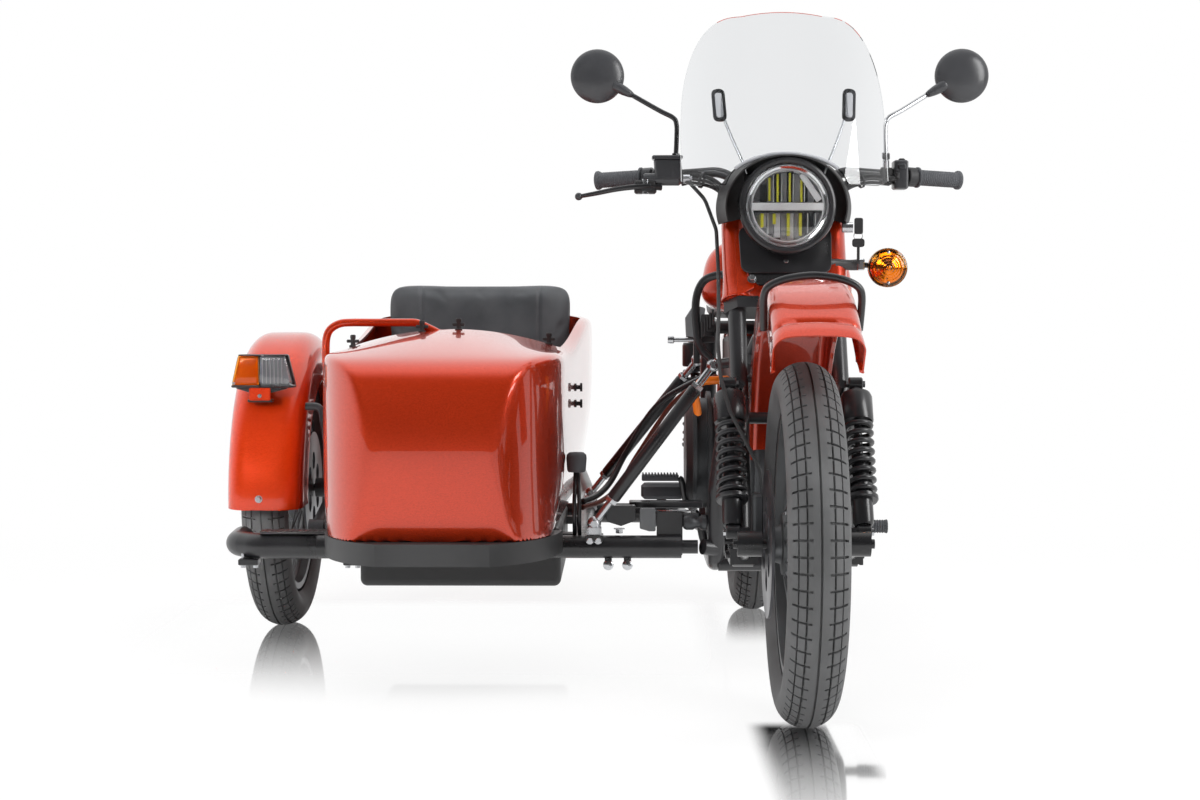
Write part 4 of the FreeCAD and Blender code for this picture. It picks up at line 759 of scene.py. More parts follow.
def spring_leg(low, high, radius, wire, turns, seat_share=0.10, cover_from=0.76, cover_to=0.94):
    """Damper body, seat, cover and a wound spring between two eyes; shares of the length or the radius."""
    length = np.linalg.norm(high - low) / MM
    way = unit(high - low)
    seat, top, crown = length * seat_share, length * cover_from, length * cover_to
    body = [(12, 0.55), (20, 0.66), (length * 0.34, 0.66), (length * 0.35, 0.52), (length * 0.50, 0.52),
            (length * 0.505, 0.24), (length - 12, 0.24)]
    collar = [(seat - 6, 0.96), (seat - 3, 1.03), (seat + 3, 1.03), (seat + 5, 0.9)]
    cover = [(top, 0.98), (top + 4, 1.03), (crown - 8, 1.03), (crown, 0.93), (crown + 1, 0.5),
             (length - 10, 0.30), (length - 8, AXIS_RADIUS / radius)]
    parts = [turned(np.array(form) * [1, radius], low, way, BLACK, 40) for form in (body, collar, cover)]
    share = np.linspace(0, 1, turns * 26)
    side = unit(np.cross(way, X))
    up = np.cross(way, side)
    climb = np.cumsum(0.15 + 0.85 * np.clip(np.minimum(share, 1 - share) * turns * 1.2, 0, 1))
    climb = (climb - climb[0]) / (climb[-1] - climb[0])
    start, end = seat + 5 + wire, top - wire
    turn = (share * turns * 2 * math.pi)[:, None]
    coil = (way * (start + (end - start) * climb)[:, None]
            + (radius - wire) * (np.cos(turn) * side + np.sin(turn) * up))
    parts.append(swept(low + coil * MM, wire, BLACK, 10))
    for spot in (low, high):
        parts += [turned([(-14, 12), (-12, 14), (12, 14), (14, 12)], spot, X, BLACK, 28),
                  turned([(-19, 7.5), (19, 7.5)], spot, X, STEEL, 6, flat=True)]
    return parts


def make_spring_legs():
    """The pairs in front and at the back, and the one of the sidecar."""
    front = [part for side in (127.0, -127.0) for part in spring_leg(
        on_steering(side, 58.0, 372.0), on_steering(side, 58.0, 694.0), 31, 5.5, 8, 0.22, 0.73, 0.925)]
    rear = [part for side in (154.0, -154.0) for part in spring_leg(
        at(side, 6, 379), at(side, -8, 723), 28, 5.5, 9, 0.16)]
    placed("front_spring_legs", front, "steering", "black_enamel", "front_shocks")
    placed("rear_spring_legs", rear, "chassis", "black_enamel", "rear_shocks")
    placed("sidecar_spring_leg", spring_leg(at(-1056, -212, 363), at(-1056, -206, 640), 24, 5, 9),
           "chassis", "black_enamel", "sidecar_shock")


# Mudguards and rails

def guard_section(half, drop, corner, bead, crown=3, wall=2.6):
    """A channel's outline as (across, out) pairs below its rim radius: outer skin, beads, inner skin."""
    other = [-1, 1]
    turn = np.linspace(0, math.pi / 2, 9)
    left = np.column_stack([-half + corner - corner * np.cos(turn), -corner + corner * np.sin(turn)])
    across = np.linspace(-half + corner, half - corner, 15)[1:-1]
    flank = np.linspace(-drop + bead * 2, -corner, 8)[:-1]
    side = np.column_stack([np.full_like(flank, -half), flank])
    outer = np.vstack([side, left, np.column_stack([across, np.zeros_like(across)]), left[::-1] * other,
                       side[::-1] * other])
    outer[:, 1] += crown * (1 - (outer[:, 0] / half) ** 2)
    edge = unit(np.gradient(outer, axis=0))
    inner = outer + np.column_stack([edge[:, 1], -edge[:, 0]]) * wall
    lip = np.array([[half + 1.0, -drop + bead], [half - bead * 0.2, -drop], [half - 2 * bead, -drop + 0.5],
                    [half - 2 * bead - 0.6, -drop + bead * 1.4]])
    return np.vstack([outer, lip, inner[::-1], (lip * other)[::-1]])


def front_visor(angle, across, out):
    """The front end flares below a creased line, and its corners reach lower."""
    degrees = np.degrees(angle)
    edge = np.abs(across) / 79.0
    gap = degrees - 125.6 + 1.0 * (1 - edge ** 2)
    groove = -4.5 * np.exp(-(gap / 0.55) ** 2) * (edge < 1.02)
    flare = np.where(gap > 0, 5.0 * np.clip(gap / 4.0, 0, 1), 0.0)
    wide = across * (1 + 0.03 * np.clip(gap / 5.0, 0, 1))
    reach = 1 + 0.012 * np.clip((degrees - 120) / 11, 0, 1) * edge ** 4
    return angle * reach, wide, out + groove + flare


def make_guard(name, body, node, centre, radius, section, start, end, steps, shape=None):
    """A section swept about a wheel's axis between two angles from the rear, upward; a dark red slot of
    painted shade for the underside is added, but no face is set to it.
    """
    angle = np.radians(np.linspace(start, end, steps))[:, None]
    across = np.broadcast_to(section[:, 0], (steps, len(section)))
    out = np.broadcast_to(radius + section[:, 1], across.shape)
    if shape:
        angle, across, out = shape(angle, across, out)
    points = np.stack([across, out * np.cos(angle), out * np.sin(angle)], axis=-1) * MM + centre
    guard = sharpen(outward(grid_piece(points, close_columns=True, caps=True)), 50)
    # The second slot holds the underside's painted shade; no face is set to it.
    placed(name, [paint(guard, ORANGE, UNDERSIDE_PAINTED_SHADE)], body, "orange_paint", node)


def make_rails():
    """The front mudguard's arched rail and the passenger's rail: round tubes through smoothed points."""
    lean = math.radians(112)
    wide = np.array([86.5, 88, 88, 84, 72, 50, 25, 0])
    tall = np.array([374, 410, 436, 452, 463, 472, 477, 479])
    half = np.stack([wide, -1490 + tall * math.cos(lean), 400 + tall * math.sin(lean)], axis=-1)
    arch = tube(np.vstack([half, half[-2::-1] * [-1, 1, 1]]), 7, BLACK, 8, 20)
    placed("mudguard_rail", [arch], "steering", "black_enamel", "fender_rail")
    line = [(-985, -741, 645), (-1004, -741, 648), (-1012, -741.5, 662), (-1013, -743, 700),
            (-1010, -745, 727), (-1000, -747, 744), (-980, -748, 755), (-955, -748.5, 757.5),
            (-900, -749, 757.5), (-830, -749.5, 757.5), (-805, -750, 756), (-775, -750, 743),
            (-750, -750, 730), (-742, -750, 726)]
    placed("passenger_rail", [tube(line, 9, ORANGE, 8, 22)], "chassis", "orange_paint", "grab_rail")


# Headlamp and windscreen

LAMP = np.array([0.0, -1116.0, 1000.0])
LAMP_FACE = at(*LAMP)
LAMP_OPENING = 71.0


def make_headlamp():
    """Black rim, chrome bowl, slatted reflector with a light bar, and a domed clear lens."""
    rim = [(-60, 80), (-56, 94), (-20, 100.5), (-6, 100.5), (0, 98), (2, 94), (1, 89), (-4, 86), (-10, 85.5),
           (-10, 80)]
    back = [(-80, AXIS_RADIUS), (-78, 40), (-66, 72), (-52, 88), (-50, 88.5)]
    bowl = [(-5, 86.5), (-6.5, 85.5), (-10, 77), (-10.5, 75), (-8, 74.6), (-8, 73.2), (-11, 72.8), (-27, 72),
            (-28, AXIS_RADIUS), (-33, AXIS_RADIUS), (-33, 80), (-15, 86.2)]
    bright = [(-8.5, 71.5), (-6, 72.2), (-6, 75.2), (-8.5, 76)]
    parts = [turned(rim, LAMP_FACE, -Y, BLACK, 96, closed=True), turned(back, LAMP_FACE, -Y, BLACK, 64),
             turned(bowl, LAMP_FACE, -Y, CHROME, 96, 25, closed=True),
             turned(bright, LAMP_FACE, -Y, LAMP_SILVER, 96, None, closed=True)]

    def strip(x, width, low, high, depth, finish):
        """An upright bar inside the lamp, cut short where the round opening ends."""
        edge = abs(x) + 0.5 * width
        reach = math.sqrt(max(LAMP_OPENING ** 2 - edge ** 2, 1.0))
        low, high = max(low, -reach), min(high, reach)
        if high - low > 4:
            low, high = LAMP + [x - width / 2, depth, low], LAMP + [x + width / 2, depth + 6, high]
            parts.append(block(low, high, 1.2, finish))

    for index, x in enumerate(np.arange(-63, 64, 14.0)):
        odd = index % 2
        strip(x, 13.0, 8, 72, 22.0 - 4.0 * odd, SLAT_AND_SHADE if odd else LAMP_GREY)
        strip(x, 13.0, -72, -12, 22.0 - 4.0 * odd, SLAT_AND_SHADE if x > 30 else LAMP_SILVER if odd else LAMP_GREY)
    for x in (-29, -12, 12, 35):
        strip(x, 2.0, 8, 66, 12.0, LAMP_SILVER)
    for x, low, high in ((-37, 10, 58), (-20, 8, 66), (5, 8, 68), (29, 8, 54)):
        strip(x, 4.5, low, high, 14.0, YELLOW_STRIPE)
    for x, low, high in ((-52, -45, -14), (-27, -38, -16), (2, -62, -13), (27, -62, -13)):
        strip(x, 6.5, low, high, 13.0, YELLOW_STRIPE)
    for x in (-40, 42, 58):
        strip(x, 2.6, -60, -12, 12.0, LAMP_SILVER)
    # The dark block right under the light bar is painted shade, standing for the shade the bar casts.
    parts += [block(LAMP + [-74.5, 4, -10], LAMP + [74.5, 14, 6], 3, LIGHT_BAR),
              block(LAMP + [-70, 6, -15.5], LAMP + [70, 24, -10], 2, SLAT_AND_SHADE),
              plate(oblong(-6, 7, -36, 30), 3, at(*(LAMP + [45, 11, 40])), 2, LIGHT_BAR,
                    (0.83, 0, 0.56), (-0.56, 0, 0.83))]
    placed("headlamp_unit", parts, "steering", "chrome_trim", "headlamp")
    dome = [(2 + 8 * (1 - v ** 2), max(86 * v, AXIS_RADIUS)) for v in np.linspace(0, 1, 20)]
    glass = [(along - 3, radius) for along, radius in dome[::-1]]
    lens = outward(turned(dome + glass, at(*(LAMP + [0, 8, 0])), -Y, CLEAR_LENS, 96, None))
    placed("headlamp_lens", [lens], "steering", "clear_screen", "headlamp")


def make_windscreen():
    """A clear sheet bent round an upright axis and raked back: a rounded arch, cut out over the lamp."""
    half, bend, low, top, shoulder = 217.0, 330.0, 1045.0, 1421.0, 130.0
    quarter = math.pi / 2 * 0.98
    u = np.linspace(-1, 1, 97)
    v = np.linspace(0, 1, 61)[:, None]
    x = half * (0.55 * np.sin(u * quarter) / math.sin(quarter) + 0.45 * u)
    flat = half - shoulder
    outer = np.clip((np.abs(x) - flat) / (shoulder + 0.001), 0, 1)
    roof = np.where(np.abs(x) < flat, top - 8 * (x / flat) ** 2,
                    low + shoulder + (top - 8 - low - shoulder) * np.sqrt(1 - outer ** 2.6))
    arch = np.clip(1 - (x / 124.0) ** 2, 0, 1)
    sill = low + 64 * np.sqrt(arch) + 10 * np.clip((np.abs(x) - 190) / 27, 0, 1) ** 2
    z = sill + (roof - sill) * v
    wide = np.broadcast_to(x, z.shape)
    y = -1128 + bend - np.sqrt(bend ** 2 - wide ** 2) + 0.45 * (z - 1020)
    points = np.stack([wide, y, z], axis=-1) * MM + ZERO
    screen = sharpen(outward(modified(grid_piece(points), "SOLIDIFY", thickness=4 * MM, offset=0.0)), 40)
    placed("windscreen_sheet", [paint(screen, SCREEN)], "steering", "clear_screen", "windscreen")
    trim = swept(points[0][np.abs(x) < 112], 4.2, LAMP_GREY, 12)
    placed("screen_edge_trim", [trim], "steering", "black_plastic")


def make_screen_stays():
    """Two thin bright rods up to oval pads on the screen, each pad with two screws."""
    parts = []
    for side in (1, -1):
        lean = (side * 0.06, 0.40, 0.915)
        route = [(side * x, y, z) for x, y, z in ((78, -1052, 1062), (88, -1056, 1090), (112, -1034, 1148),
                                                  (137, -1004, 1216))]
        parts += [tube(route, 3.2, STEEL, 10, 12),
                  plate(oblong(-14.5, 14.5, -39, 39), 14, at(side * 137, -1003, 1216), 6, MIRROR_BACK, X,
                        lean),
                  plate(oblong(-8, 8, -30, 30), 7.5, at(side * 137, -1009.5, 1216), 4, LAMP_GREY, X, lean),
                  block((side * 78 - 8, -1060, 1046), (side * 78 + 8, -1036, 1068), 3, BLACK)]
        for along in (-18, 18):
            spot = at(side * (137 + 0.06 * along), -1009.5 + 0.4 * along, 1216 + 0.915 * along)
            parts += bolt(spot, [0, -0.915, 0.40], 7, washer=False)
    placed("screen_stays", parts, "steering", "black_enamel", "windscreen_brackets")


# Mirrors and hand controls

GRIPS = [(np.array([side * 297.0, -887.4, 1073.6]), np.array([side * 98.0, 37.4, -3.6])) for side in (1, -1)]


def make_mirrors():
    """Round backs: a dome turned about the view line, a tapered socket and a bent stem with its nuts."""
    back = [(19 * (1 - math.sqrt(1 - 0.90 * v ** 2)) / 0.68, 58 * v) for v in np.linspace(0.03, 1, 18)]
    back += [(21.5, 58.5), (25.5, 58.5), (27, 56.5), (25.5, 54.5), (24.5, AXIS_RADIUS)]
    clamp = [(-9, 11.4), (-9, 16.5), (-7, 17.5), (7, 17.5), (9, 16.5), (9, 11.4)]
    share = np.linspace(0, 1, 9)
    parts = []
    for side in (1, -1):
        centre = np.array([side * 396, -905, 1294])
        start, neck = centre + [-side * 32, 16, -18], centre + [-side * 76, 16, -42]
        stem = [(side * x, y, z) for x, y, z in ((227.5, -921, 1084), (226, -928, 1120), (224.5, -931, 1160),
                                                 (225, -932, 1184), (232, -930, 1199), (262, -918, 1216))]
        foot, rise = at(*stem[0]), np.subtract(stem[1], stem[0])
        parts += [
            turned(back, at(*centre), Y, MIRROR_BACK, 72, 50),
            turned([(24.6, 53.5), (25.8, 53)], at(*centre), Y, CHROME, 64, None),
            tube(start + share[:, None] * (neck - centre - [-side * 32, 16, -18]),
                 np.interp(share, [0, 0.1, 0.6, 0.9, 1], [9, 12.5, 10.5, 7.8, 6]), MIRROR_BACK, 0, 20),
            tube(stem + [neck], 5.3, STEEL if side > 0 else BLACK),
            turned([(26, 8.5), (28, 9.5), (38, 9.5), (40, 8.5)], foot, rise, BLACK, 6, flat=True),
            turned([(0, 7.5), (24, 7.5), (26, AXIS_RADIUS)], foot, rise, STEEL, 20),
            turned(clamp, at(side * 228, -909.7, 1077), (side * 0.954, 0.2954, -0.049), BLACK, 32,
                   closed=True)]
    placed("round_mirrors", parts, "steering", "black_enamel", "mirrors")


def make_grips():
    """Rubber grips turned about the bar's end: fine ridges, an inner flange and a domed end."""
    sleeve = [(a, 16.6 + 0.7 * math.sin(a / 4.5 * 2 * math.pi)) for a in np.linspace(8, 98, 91)]
    profile = [(0, 11.6), (0, 21), (2, 22.5), (5, 22.5), (7, 19), *sleeve, (100, 19.5), (103, 20.8),
               (107, 20.5), (108.5, 17), (109, AXIS_RADIUS)]
    parts = [turned(profile, at(*inner), way, GRIP_RUBBER, 40, None) for inner, way in GRIPS]
    placed("bar_grips", parts, "steering", "soft_rubber", "grips")


def make_hand_controls():
    """Reservoir, lever with its ball end, throttle ring and switch housings, each seated on the bar."""
    ring = [(-24, 11.6), (-24, 19.5), (-22, 21), (-4, 21), (-2, 19.5), (-2, 11.6)]
    band = [(-47, 11.6), (-47, 16.5), (-45, 17.8), (-27, 17.8), (-25, 16.5), (-25, 11.6)]
    parts = []
    for (inner, way), finish in zip(GRIPS, (PLASTIC, MIRROR_BACK)):
        parts += [turned(ring, at(*inner), unit(way), finish, 40, closed=True),
                  turned(band, at(*inner), unit(way), BLACK, 32, closed=True)]
    tank = block((-270, -955, 1064), (-210, -906, 1110), 7, MIRROR_BACK)
    reshape(tank, lambda p: p - (p[:, 2:] - 1064) * 0.10 * X)
    lever = smooth_line([(-258, -944, 1050), (-300, -955, 1050), (-350, -952, 1045), (-400, -938, 1036),
                         (-432, -925, 1031)], 10)
    girth = np.interp(np.linspace(0, 1, len(lever)), [0, 0.15, 0.9, 1], [8.5, 6.5, 4.8, 4.5])
    parts += [
        tank, tube(lever, girth, BLACK, 0), ball(8.5, at(-436, -923, 1030.5), -X, MIRROR_BACK, 24),
        turned([(0, 11), (4, 13.5), (76, 13.5), (80, 10), (92, 9)], at(-296, -940, 1066), X, MIRROR_BACK),
        turned([(-16, 8), (16, 8)], at(-292, -950, 1050), Z, STEEL, 20),
        turned([(-7, 8.5), (7, 8.5)], at(-203, -944, 1067), X, STEEL, 24),
        *bolt(at(-198, -944, 1067), X, 12)]
    parts += blocks(((-278, -958, 1109), (-211, -903, 1117), 4, MIRROR_BACK),
                    ((-316, -956, 1036), (-268, -908, 1064), 6, PLASTIC),
                    ((-300, -958, 1040), (-280, -955.5, 1056), 3, DARK_ALLOY),
                    ((244, -934, 1046), (275, -886, 1108), 5, MIRROR_BACK),
                    ((216, -930, 1056), (243, -890, 1092), 5, PLASTIC),
                    ((224, -937, 1062), (250, -928, 1074), 5, PLASTIC),
                    ((252, -938, 1088), (270, -930, 1100), 5, DARK_ALLOY),
                    ((246, -939, 1066), (256, -930, 1082), 5, PLASTIC),
                    ((258, -904, 1106), (272, -892, 1114), 5, PLASTIC))
    placed("levers_and_switches", parts, "steering", "black_plastic", "hand_controls")


def make_bar_cables():
    """Thin sheathed cables from both controls along the bar to the lamp: smooth lines, with ties."""
    parts = []
    for side, start in ((1, 236), (-1, 212)):
        for shift, drop in ((0, 0), (7, -8), (-6, -10), (2, -17)):
            route = ((start, -916 + shift, 1074 + drop), (190, -930 + shift * 1.4, 1076 + drop),
                     (150, -948 + shift, 1066 + drop), (118, -966, 1040 + 0.8 * drop),
                     (98, -1000, 1022 + 0.6 * drop), (84 + shift, -1040, 1016 + drop))
            parts.append(tube([(side * x, y, z) for x, y, z in route], 3.6 if shift else 4.6, PLASTIC, 8, 10))
        for x, y, z in ((170, -939, 1064), (128, -958, 1040)):
            parts.append(turned([(-3, 16), (-3, 17.2), (3, 17.2), (3, 16)], at(side * x, y, z),
                                (side * 0.9, 0.3, 0.3), PLASTIC, 24, None, closed=True))
    placed("bar_cables", parts, "steering", "black_plastic")


# Lamp panel, hood, fork covers and turn signal

def make_nacelle():
    """The panel below the lamp, a hood bent round its top as an arc of changing radius, a black sheet across
    the hood's deep end as painted shade for the gap behind the lamp, and the bolts.
    """
    turn = np.linspace(math.radians(-14), math.radians(194), 90)[:, None]
    deep = np.linspace(0, 1, 14)
    flat = np.abs(np.cos(turn))
    wide = 105.5 + 22 * flat ** 2 + (4 + 12 * flat) * deep
    x, z = wide * np.cos(turn), wide * np.sin(turn)
    y = 4 + 22 * flat ** 2 + deep * (62 + 20 * flat) + 0.10 * np.maximum(-z, 0)
    sheet = grid_piece((np.stack([x, y, z], axis=-1) + LAMP) * MM + ZERO)
    hood = modified(sheet, "SOLIDIFY", thickness=3 * MM)

    def edge_line(share, back):
        return np.stack([x[:, -1] * share, y[:, -1] - 6 + back, z[:, -1] * share], axis=-1)

    # A black ring sheet at the hood's deep end: painted shade, put where the gap behind the lamp is only in
    # shadow.
    gap_shade_sheet = np.stack([edge_line(0.62, 0), edge_line(0.99, 0), edge_line(0.99, 4), edge_line(0.62, 4)])
    parts = [
        plate([(-94, 962), (94, 962), (98, 1076), (-98, 1076)], 24, on_steering(0, 37, 0), 6, BLACK, X,
              STEER),
        plate([(-60, 938), (60, 938), (86, 975), (-86, 975)], 10, on_steering(0, 30, 0), 6, BLACK, X, STEER),
        paint(sharpen(outward(grid_piece((gap_shade_sheet + LAMP) * MM + ZERO, close_rows=True)), 30), PLASTIC),
        paint(sharpen(outward(hood), 40), PLASTIC),
        *bolt(on_steering(0, 38, 990), AHEAD, 11), *bolt(on_steering(-72, 40, 948), AHEAD, 15)]
    placed("lamp_panel_and_hood", parts, "steering", "black_enamel", "headlamp_nacelle")


def make_cover_lips():
    """Flared lower lips on the fork covers, turned about the fork legs, and the plates between them."""
    lip = [(918.5, 26.2), (916.5, 30), (917.5, 31.8), (920.5, 31.8), (930, 29.6), (945, 28.5), (960, 27.8),
           (960, 26.2)]
    parts = []
    for side in (1, -1):
        yoke = [(side * x, z) for x, z in ((104, 912), (66, 934), (84, 966), (90, 1075), (104, 1075))][::side]
        parts += [turned(lip, on_steering(side * 103, 0, 0), STEER, ORANGE, 64, 50, closed=True),
                  plate(yoke, 5, on_steering(0, 20, 0), 12, ORANGE, X, STEER)]
    placed("fork_cover_lips", parts, "steering", "orange_paint")


def make_turn_signal():
    """Amber lens turned about the view line with rings, its black arm and clamp; a key in the lock."""
    centre = at(213, -1085, 873)
    v = np.linspace(0.02, 1, 22)
    face = np.column_stack([10 * (1 - np.cos(v * 1.2)) / 0.64 + 0.6 * np.sin(v * 40), 38.5 * v])
    profile = [(0, AXIS_RADIUS), *face, (11.5, 40.5), (15, 41.2), (28, 41.2), (30, 40.2), (30, 38.5), (16, 38),
               (13, 34), (5, AXIS_RADIUS)]
    lens = outward(turned(profile, centre, Y, AMBER, 72, 40))
    placed("signal_lens", [lens], "steering", "amber_lens", "turn_signal")
    angle = np.linspace(0, 6.1, 24)
    ring = np.stack([152 + 9 * np.sin(angle), np.full(24, -1062.0), 940 + 9 * np.cos(angle)], axis=-1)
    parts = [
        turned([(25.5, 37.5), (30, 40.5), (38, 34), (45, 20), (46, AXIS_RADIUS)], centre, Y, BLACK, 48),
        turned([(12, AXIS_RADIUS), (16, 16), (24, 34), (25.3, 34)], centre, Y, CHROME, 40, None),
        tube([(196, -1050, 876), (178, -1049, 878), (160, -1049, 879.5)], 5.8, BLACK, 6),
        block((150, -1062, 868), (166, -1036, 892), 3, STEEL),
        tube([(158, -1049, 880), (136, -1049, 879), (108, -1056, 882), (84, -1066, 884)],
             np.linspace(12, 9, 19), SATIN_BLACK, 6, 16),
        turned([(0, 11), (22, 11)], at(118, -1062, 957), X, STEEL),
        plate(oblong(-9, 9, -17, 17), 5, at(152, -1064, 960), 6, PLASTIC),
        plate(oblong(-13, 13, -9, 9), 7, at(152, -1062, 925), 4, PLASTIC),
        plate(oblong(-3, 3, -44, -8), 1.5, at(152, -1061.5, 925), 2.4, PLASTIC),
        tube(ring, 0.9, STEEL, 0, 8)]
    parts += [turned([(-2, 3.5), (1, 3.5)], at(213, -1078, z), Y, STEEL, 12, None) for z in (904.9, 841.1)]
    placed("signal_stay_and_key", parts, "steering", "black_enamel")


# The sidecar's lamp, studs, step, mounts and struts

def make_fender_lamp():
    """Two lens blocks, amber outside and clear inside, narrower at the top, on a black tray and a bracket."""
    def lens_block(low_x, high_x, finish):
        """A crowned face between two leaning sides: depth falls off to all four sides, closed at the back."""
        u, v = np.linspace(0, 1, 22), np.linspace(0, 1, 18)[:, None]
        low, high = np.interp(u, [0, 1], low_x), np.interp(u, [0, 1], high_x)
        y = -640 + 5.0 * (np.abs(2 * u - 1) ** 6 + np.abs(2 * v - 1) ** 6) - 0.18 * np.cos(u * 40)
        x, z = low * (1 - v) + high * v, 612 + 68 * v + 0 * u
        face = grid_piece(np.stack([x, y, z], axis=-1) * MM + ZERO)
        return paint(sharpen(outward(modified(face, "SOLIDIFY", thickness=3 * MM)), 40), finish)

    lenses = [lens_block((-1249, -1186), (-1234, -1187), AMBER),
              lens_block((-1185, -1106), (-1186, -1124), CLEAR_LENS)]
    placed("fender_lamp_lenses", lenses, "chassis", "amber_lens", "fender_lamp")
    parts = plates(
        ([(-1183, 613), (-1112, 613), (-1127, 678), (-1183, 678)], 4, -609, 22, LAMP_GREY),
        ([(-1246, 613), (-1187, 613), (-1187, 678), (-1231, 678)], 4, -609, 22, YELLOW_ORANGE),
        ([(-1250, 606), (-1104, 606), (-1122, 683), (-1233, 683)], 6, -592, 16, BLACK),
        ([(-1246, 606), (-1206, 594), (-1156, 594), (-1110, 606)], 2, -632, 4, BLACK),
        (oblong(-1208, -1158, 576, 606), 4, -634, 5, ORANGE))
    parts += blocks(((-1249, -642, 606), (-1104, -596, 612), 3, BLACK),
                    ((-1232, -640, 680), (-1124, -596, 683), 1, BLACK),
                    ((-1212, -636, 572), (-1154, -612, 579), 2, BLACK),
                    *[((x, -634.5, 616), (x + 2.5, -630, 674), 1, LAMP_SILVER)
                      for x in range(-1178, -1128, 9)])
    parts.append(tube([(-1172, -600, 626), (-1172, -570, 628), (-1172, -528, 634)], 9, BLACK, 6))
    for x, z, across in ((-1243, 616, 5), (-1112, 616, 5), (-1176, 681, 5), (-1183, 587, 7)):
        parts += bolt(at(x, -640, z), -Y, across)
    placed("fender_lamp_frame", parts, "chassis", "black_enamel")


def make_studs():
    """Turn-button studs round the cockpit's front edge, and two round ones on the body's side."""
    post = [(-3, 8.5), (2, 8.5), (3, 5.5), (16, 5), (18, 6.2), (24, 6.2), (26, 4.5)]
    side_post = [(-2, 9), (3, 9), (4, 5), (11, 5), (12, 10), (17, 10)]
    parts = [turned(side_post, at(-451.5, -600, z), X, PLASTIC, 20) for z in (606, 568)]
    for x, y, z in ((-950, -752, 704), (-792, -767, 737), (-711, -752, 742), (-507, -752, 709)):
        parts += [turned(post, at(x, y, z), Z, PLASTIC, 20),
                  block((x - 14, y - 3.5, z + 8), (x + 14, y + 3.5, z + 15), 2, PLASTIC)]
    placed("cover_studs", parts, "chassis", "black_plastic")


def make_step():
    """A ribbed tread plate over the front tube, its clamp plates with bolts, and a rubber stop on a post."""
    parts = [plate(oblong(-1148, -902, -856, -806), 10, at(0, 0, 289.3), 5, SATIN_BLACK, X, Y)]
    parts += [block((x, -850, 293.5), (x + 5, -812, 296), 1, SATIN_BLACK) for x in range(-1138, -908, 12)]
    for x0, x1 in ((-1196, -1152), (-962, -924)):
        parts.append(block((x0, -848, 218), (x1, -806, 231.5), 3, BLACK))
        for x in (x0 + 8, x1 - 8):
            parts.append(turned([(0, 4), (30, 4)], at(x, -827, 218), Z, STEEL, 12))
            parts += bolt(at(x, -827, 217.5), -Z, 12)
    cap = [(0, 18), (4, 20.5), (30, 22.5), (38, 21.5), (43, 16), (44, AXIS_RADIUS)]
    parts.append(turned(cap, at(-442, -884, 430), Z, GRIP_RUBBER, 32, 50))
    for shift in (-5, 6):
        post = [(-441 + shift, -886, 291), (-442 + shift, -885, 360), (-442 + 0.4 * shift, -884, 434)]
        parts.append(tube(post, 4.5, BLACK, 0, 12))
    placed("step_plate_and_stop", parts, "chassis", "black_enamel", "sidecar_step")


def make_side_details():
    """Bolts and screws on mudguard and skirt, the front mount plate with its ball joint and clamp bolts."""
    parts = plates(
        ([(-209, 246), (-209, 343), (-266, 343), (-266, 250)], 5, -876, 14, BLACK),
        ([(-303, 350), (-268, 350), (-268, 300), (-282, 300), (-303, 306)], 4, -872, 20, GREY_PLASTIC),
        ([(-376, 357), (-312, 357), (-312, 324), (-344, 312), (-376, 322)], 4, -868, 30, BLACK))
    for spot, way, across in (((-1182, -667, 349), -Y, 13), ((-868, -1188, 288), -Y, 6),
                              ((-640, -1200, 288), -Y, 6), ((-348, -884, 306), -Z, 18)):
        parts += bolt(at(*spot), way, across)
    joint = [(0, 13), (6, 16), (20, 16), (26, 12), (34, 12), (40, 17), (48, 17), (50, AXIS_RADIUS)]
    parts += [block((-326, -840, 346), (-162, -790, 360), 3, BLACK),
              tube([(-272, -884, 344), (-200, -884, 345), (-176, -884, 349)], 2, STEEL, 0, 10),
              turned([(0, 14), (3, 16.5), (34, 16.5), (37, 14)], at(-209, -868, 322), X, DARK_ALLOY),
              turned(joint, at(-207, -900, 320), (1, 0.1, 0), DARK_ALLOY)]
    for x in (-372, -330):
        parts += [turned([(0, 8), (24, 8), (26, AXIS_RADIUS)], at(x, -900, 246), -Z, BLACK, 16),
                  turned([(0, 11.5), (5, 11.5), (8, 8), (9, AXIS_RADIUS)], at(x, -906, 228), -Y, STEEL),
                  turned([(0, 9.5), (20, 9.5)], at(x, -886, 228), -Y, BLACK, 20)]
    placed("side_mount_details", parts, "chassis", "black_enamel")


def make_struts():
    """Turnbuckle struts: threaded ends in nuts on a black tube, a ball joint above and a clamped eye below."""
    parts = []
    for foot, high in (((-403, -900, 292.3), at(-143.6, -924.1, 666)),
                       ((-421, -150, 292.3), at(-154.3, -302.9, 664))):
        base = at(*foot) + Z * 26 * MM
        way = high - base
        length = np.linalg.norm(way) / MM
        sleeve = [(68, 12.5), (72, 14.8), (length - 68, 14.8), (length - 64, 12.5)]
        parts.append(turned(sleeve, base, way, BLACK, 32))
        for start, end in ((12, 66), (length - 64, length - 12)):
            thread = [(along, 7.8 + 0.6 * (i % 2)) for i, along in enumerate(np.linspace(start, end, 44))]
            parts.append(turned(thread, base, way, STEEL, 20, None))
        for start in (58, length - 64):
            nut = [(start, 13.5), (start + 1.5, 14.8), (start + 9.5, 14.8), (start + 11, 13.5)]
            parts.append(turned(nut, base, way, STEEL, 6, flat=True))
        for spot in (high, base):
            parts += [ball(15.5, spot, Y, STEEL, 28), turned([(-18, 7.5), (18, 7.5)], spot, Y, STEEL, 20)]
        x, y, z = foot
        parts += blocks(((x - 16, y - 19, z), (x + 16, y + 19, z + 20), 4, STEEL),
                        ((x - 20, y - 30, z - 12), (x + 20, y + 30, z + 2), 3, BLACK))
        parts += bolt(at(x - 9, y - 28, z - 8), -Y, 13) + bolt(at(x + 9, y - 28, z - 8), -Y, 13)
    placed("turnbuckle_struts", parts, "chassis", "black_enamel", "sidecar_struts")


# The rider's footrests, the drive side, the tank cover and the seats

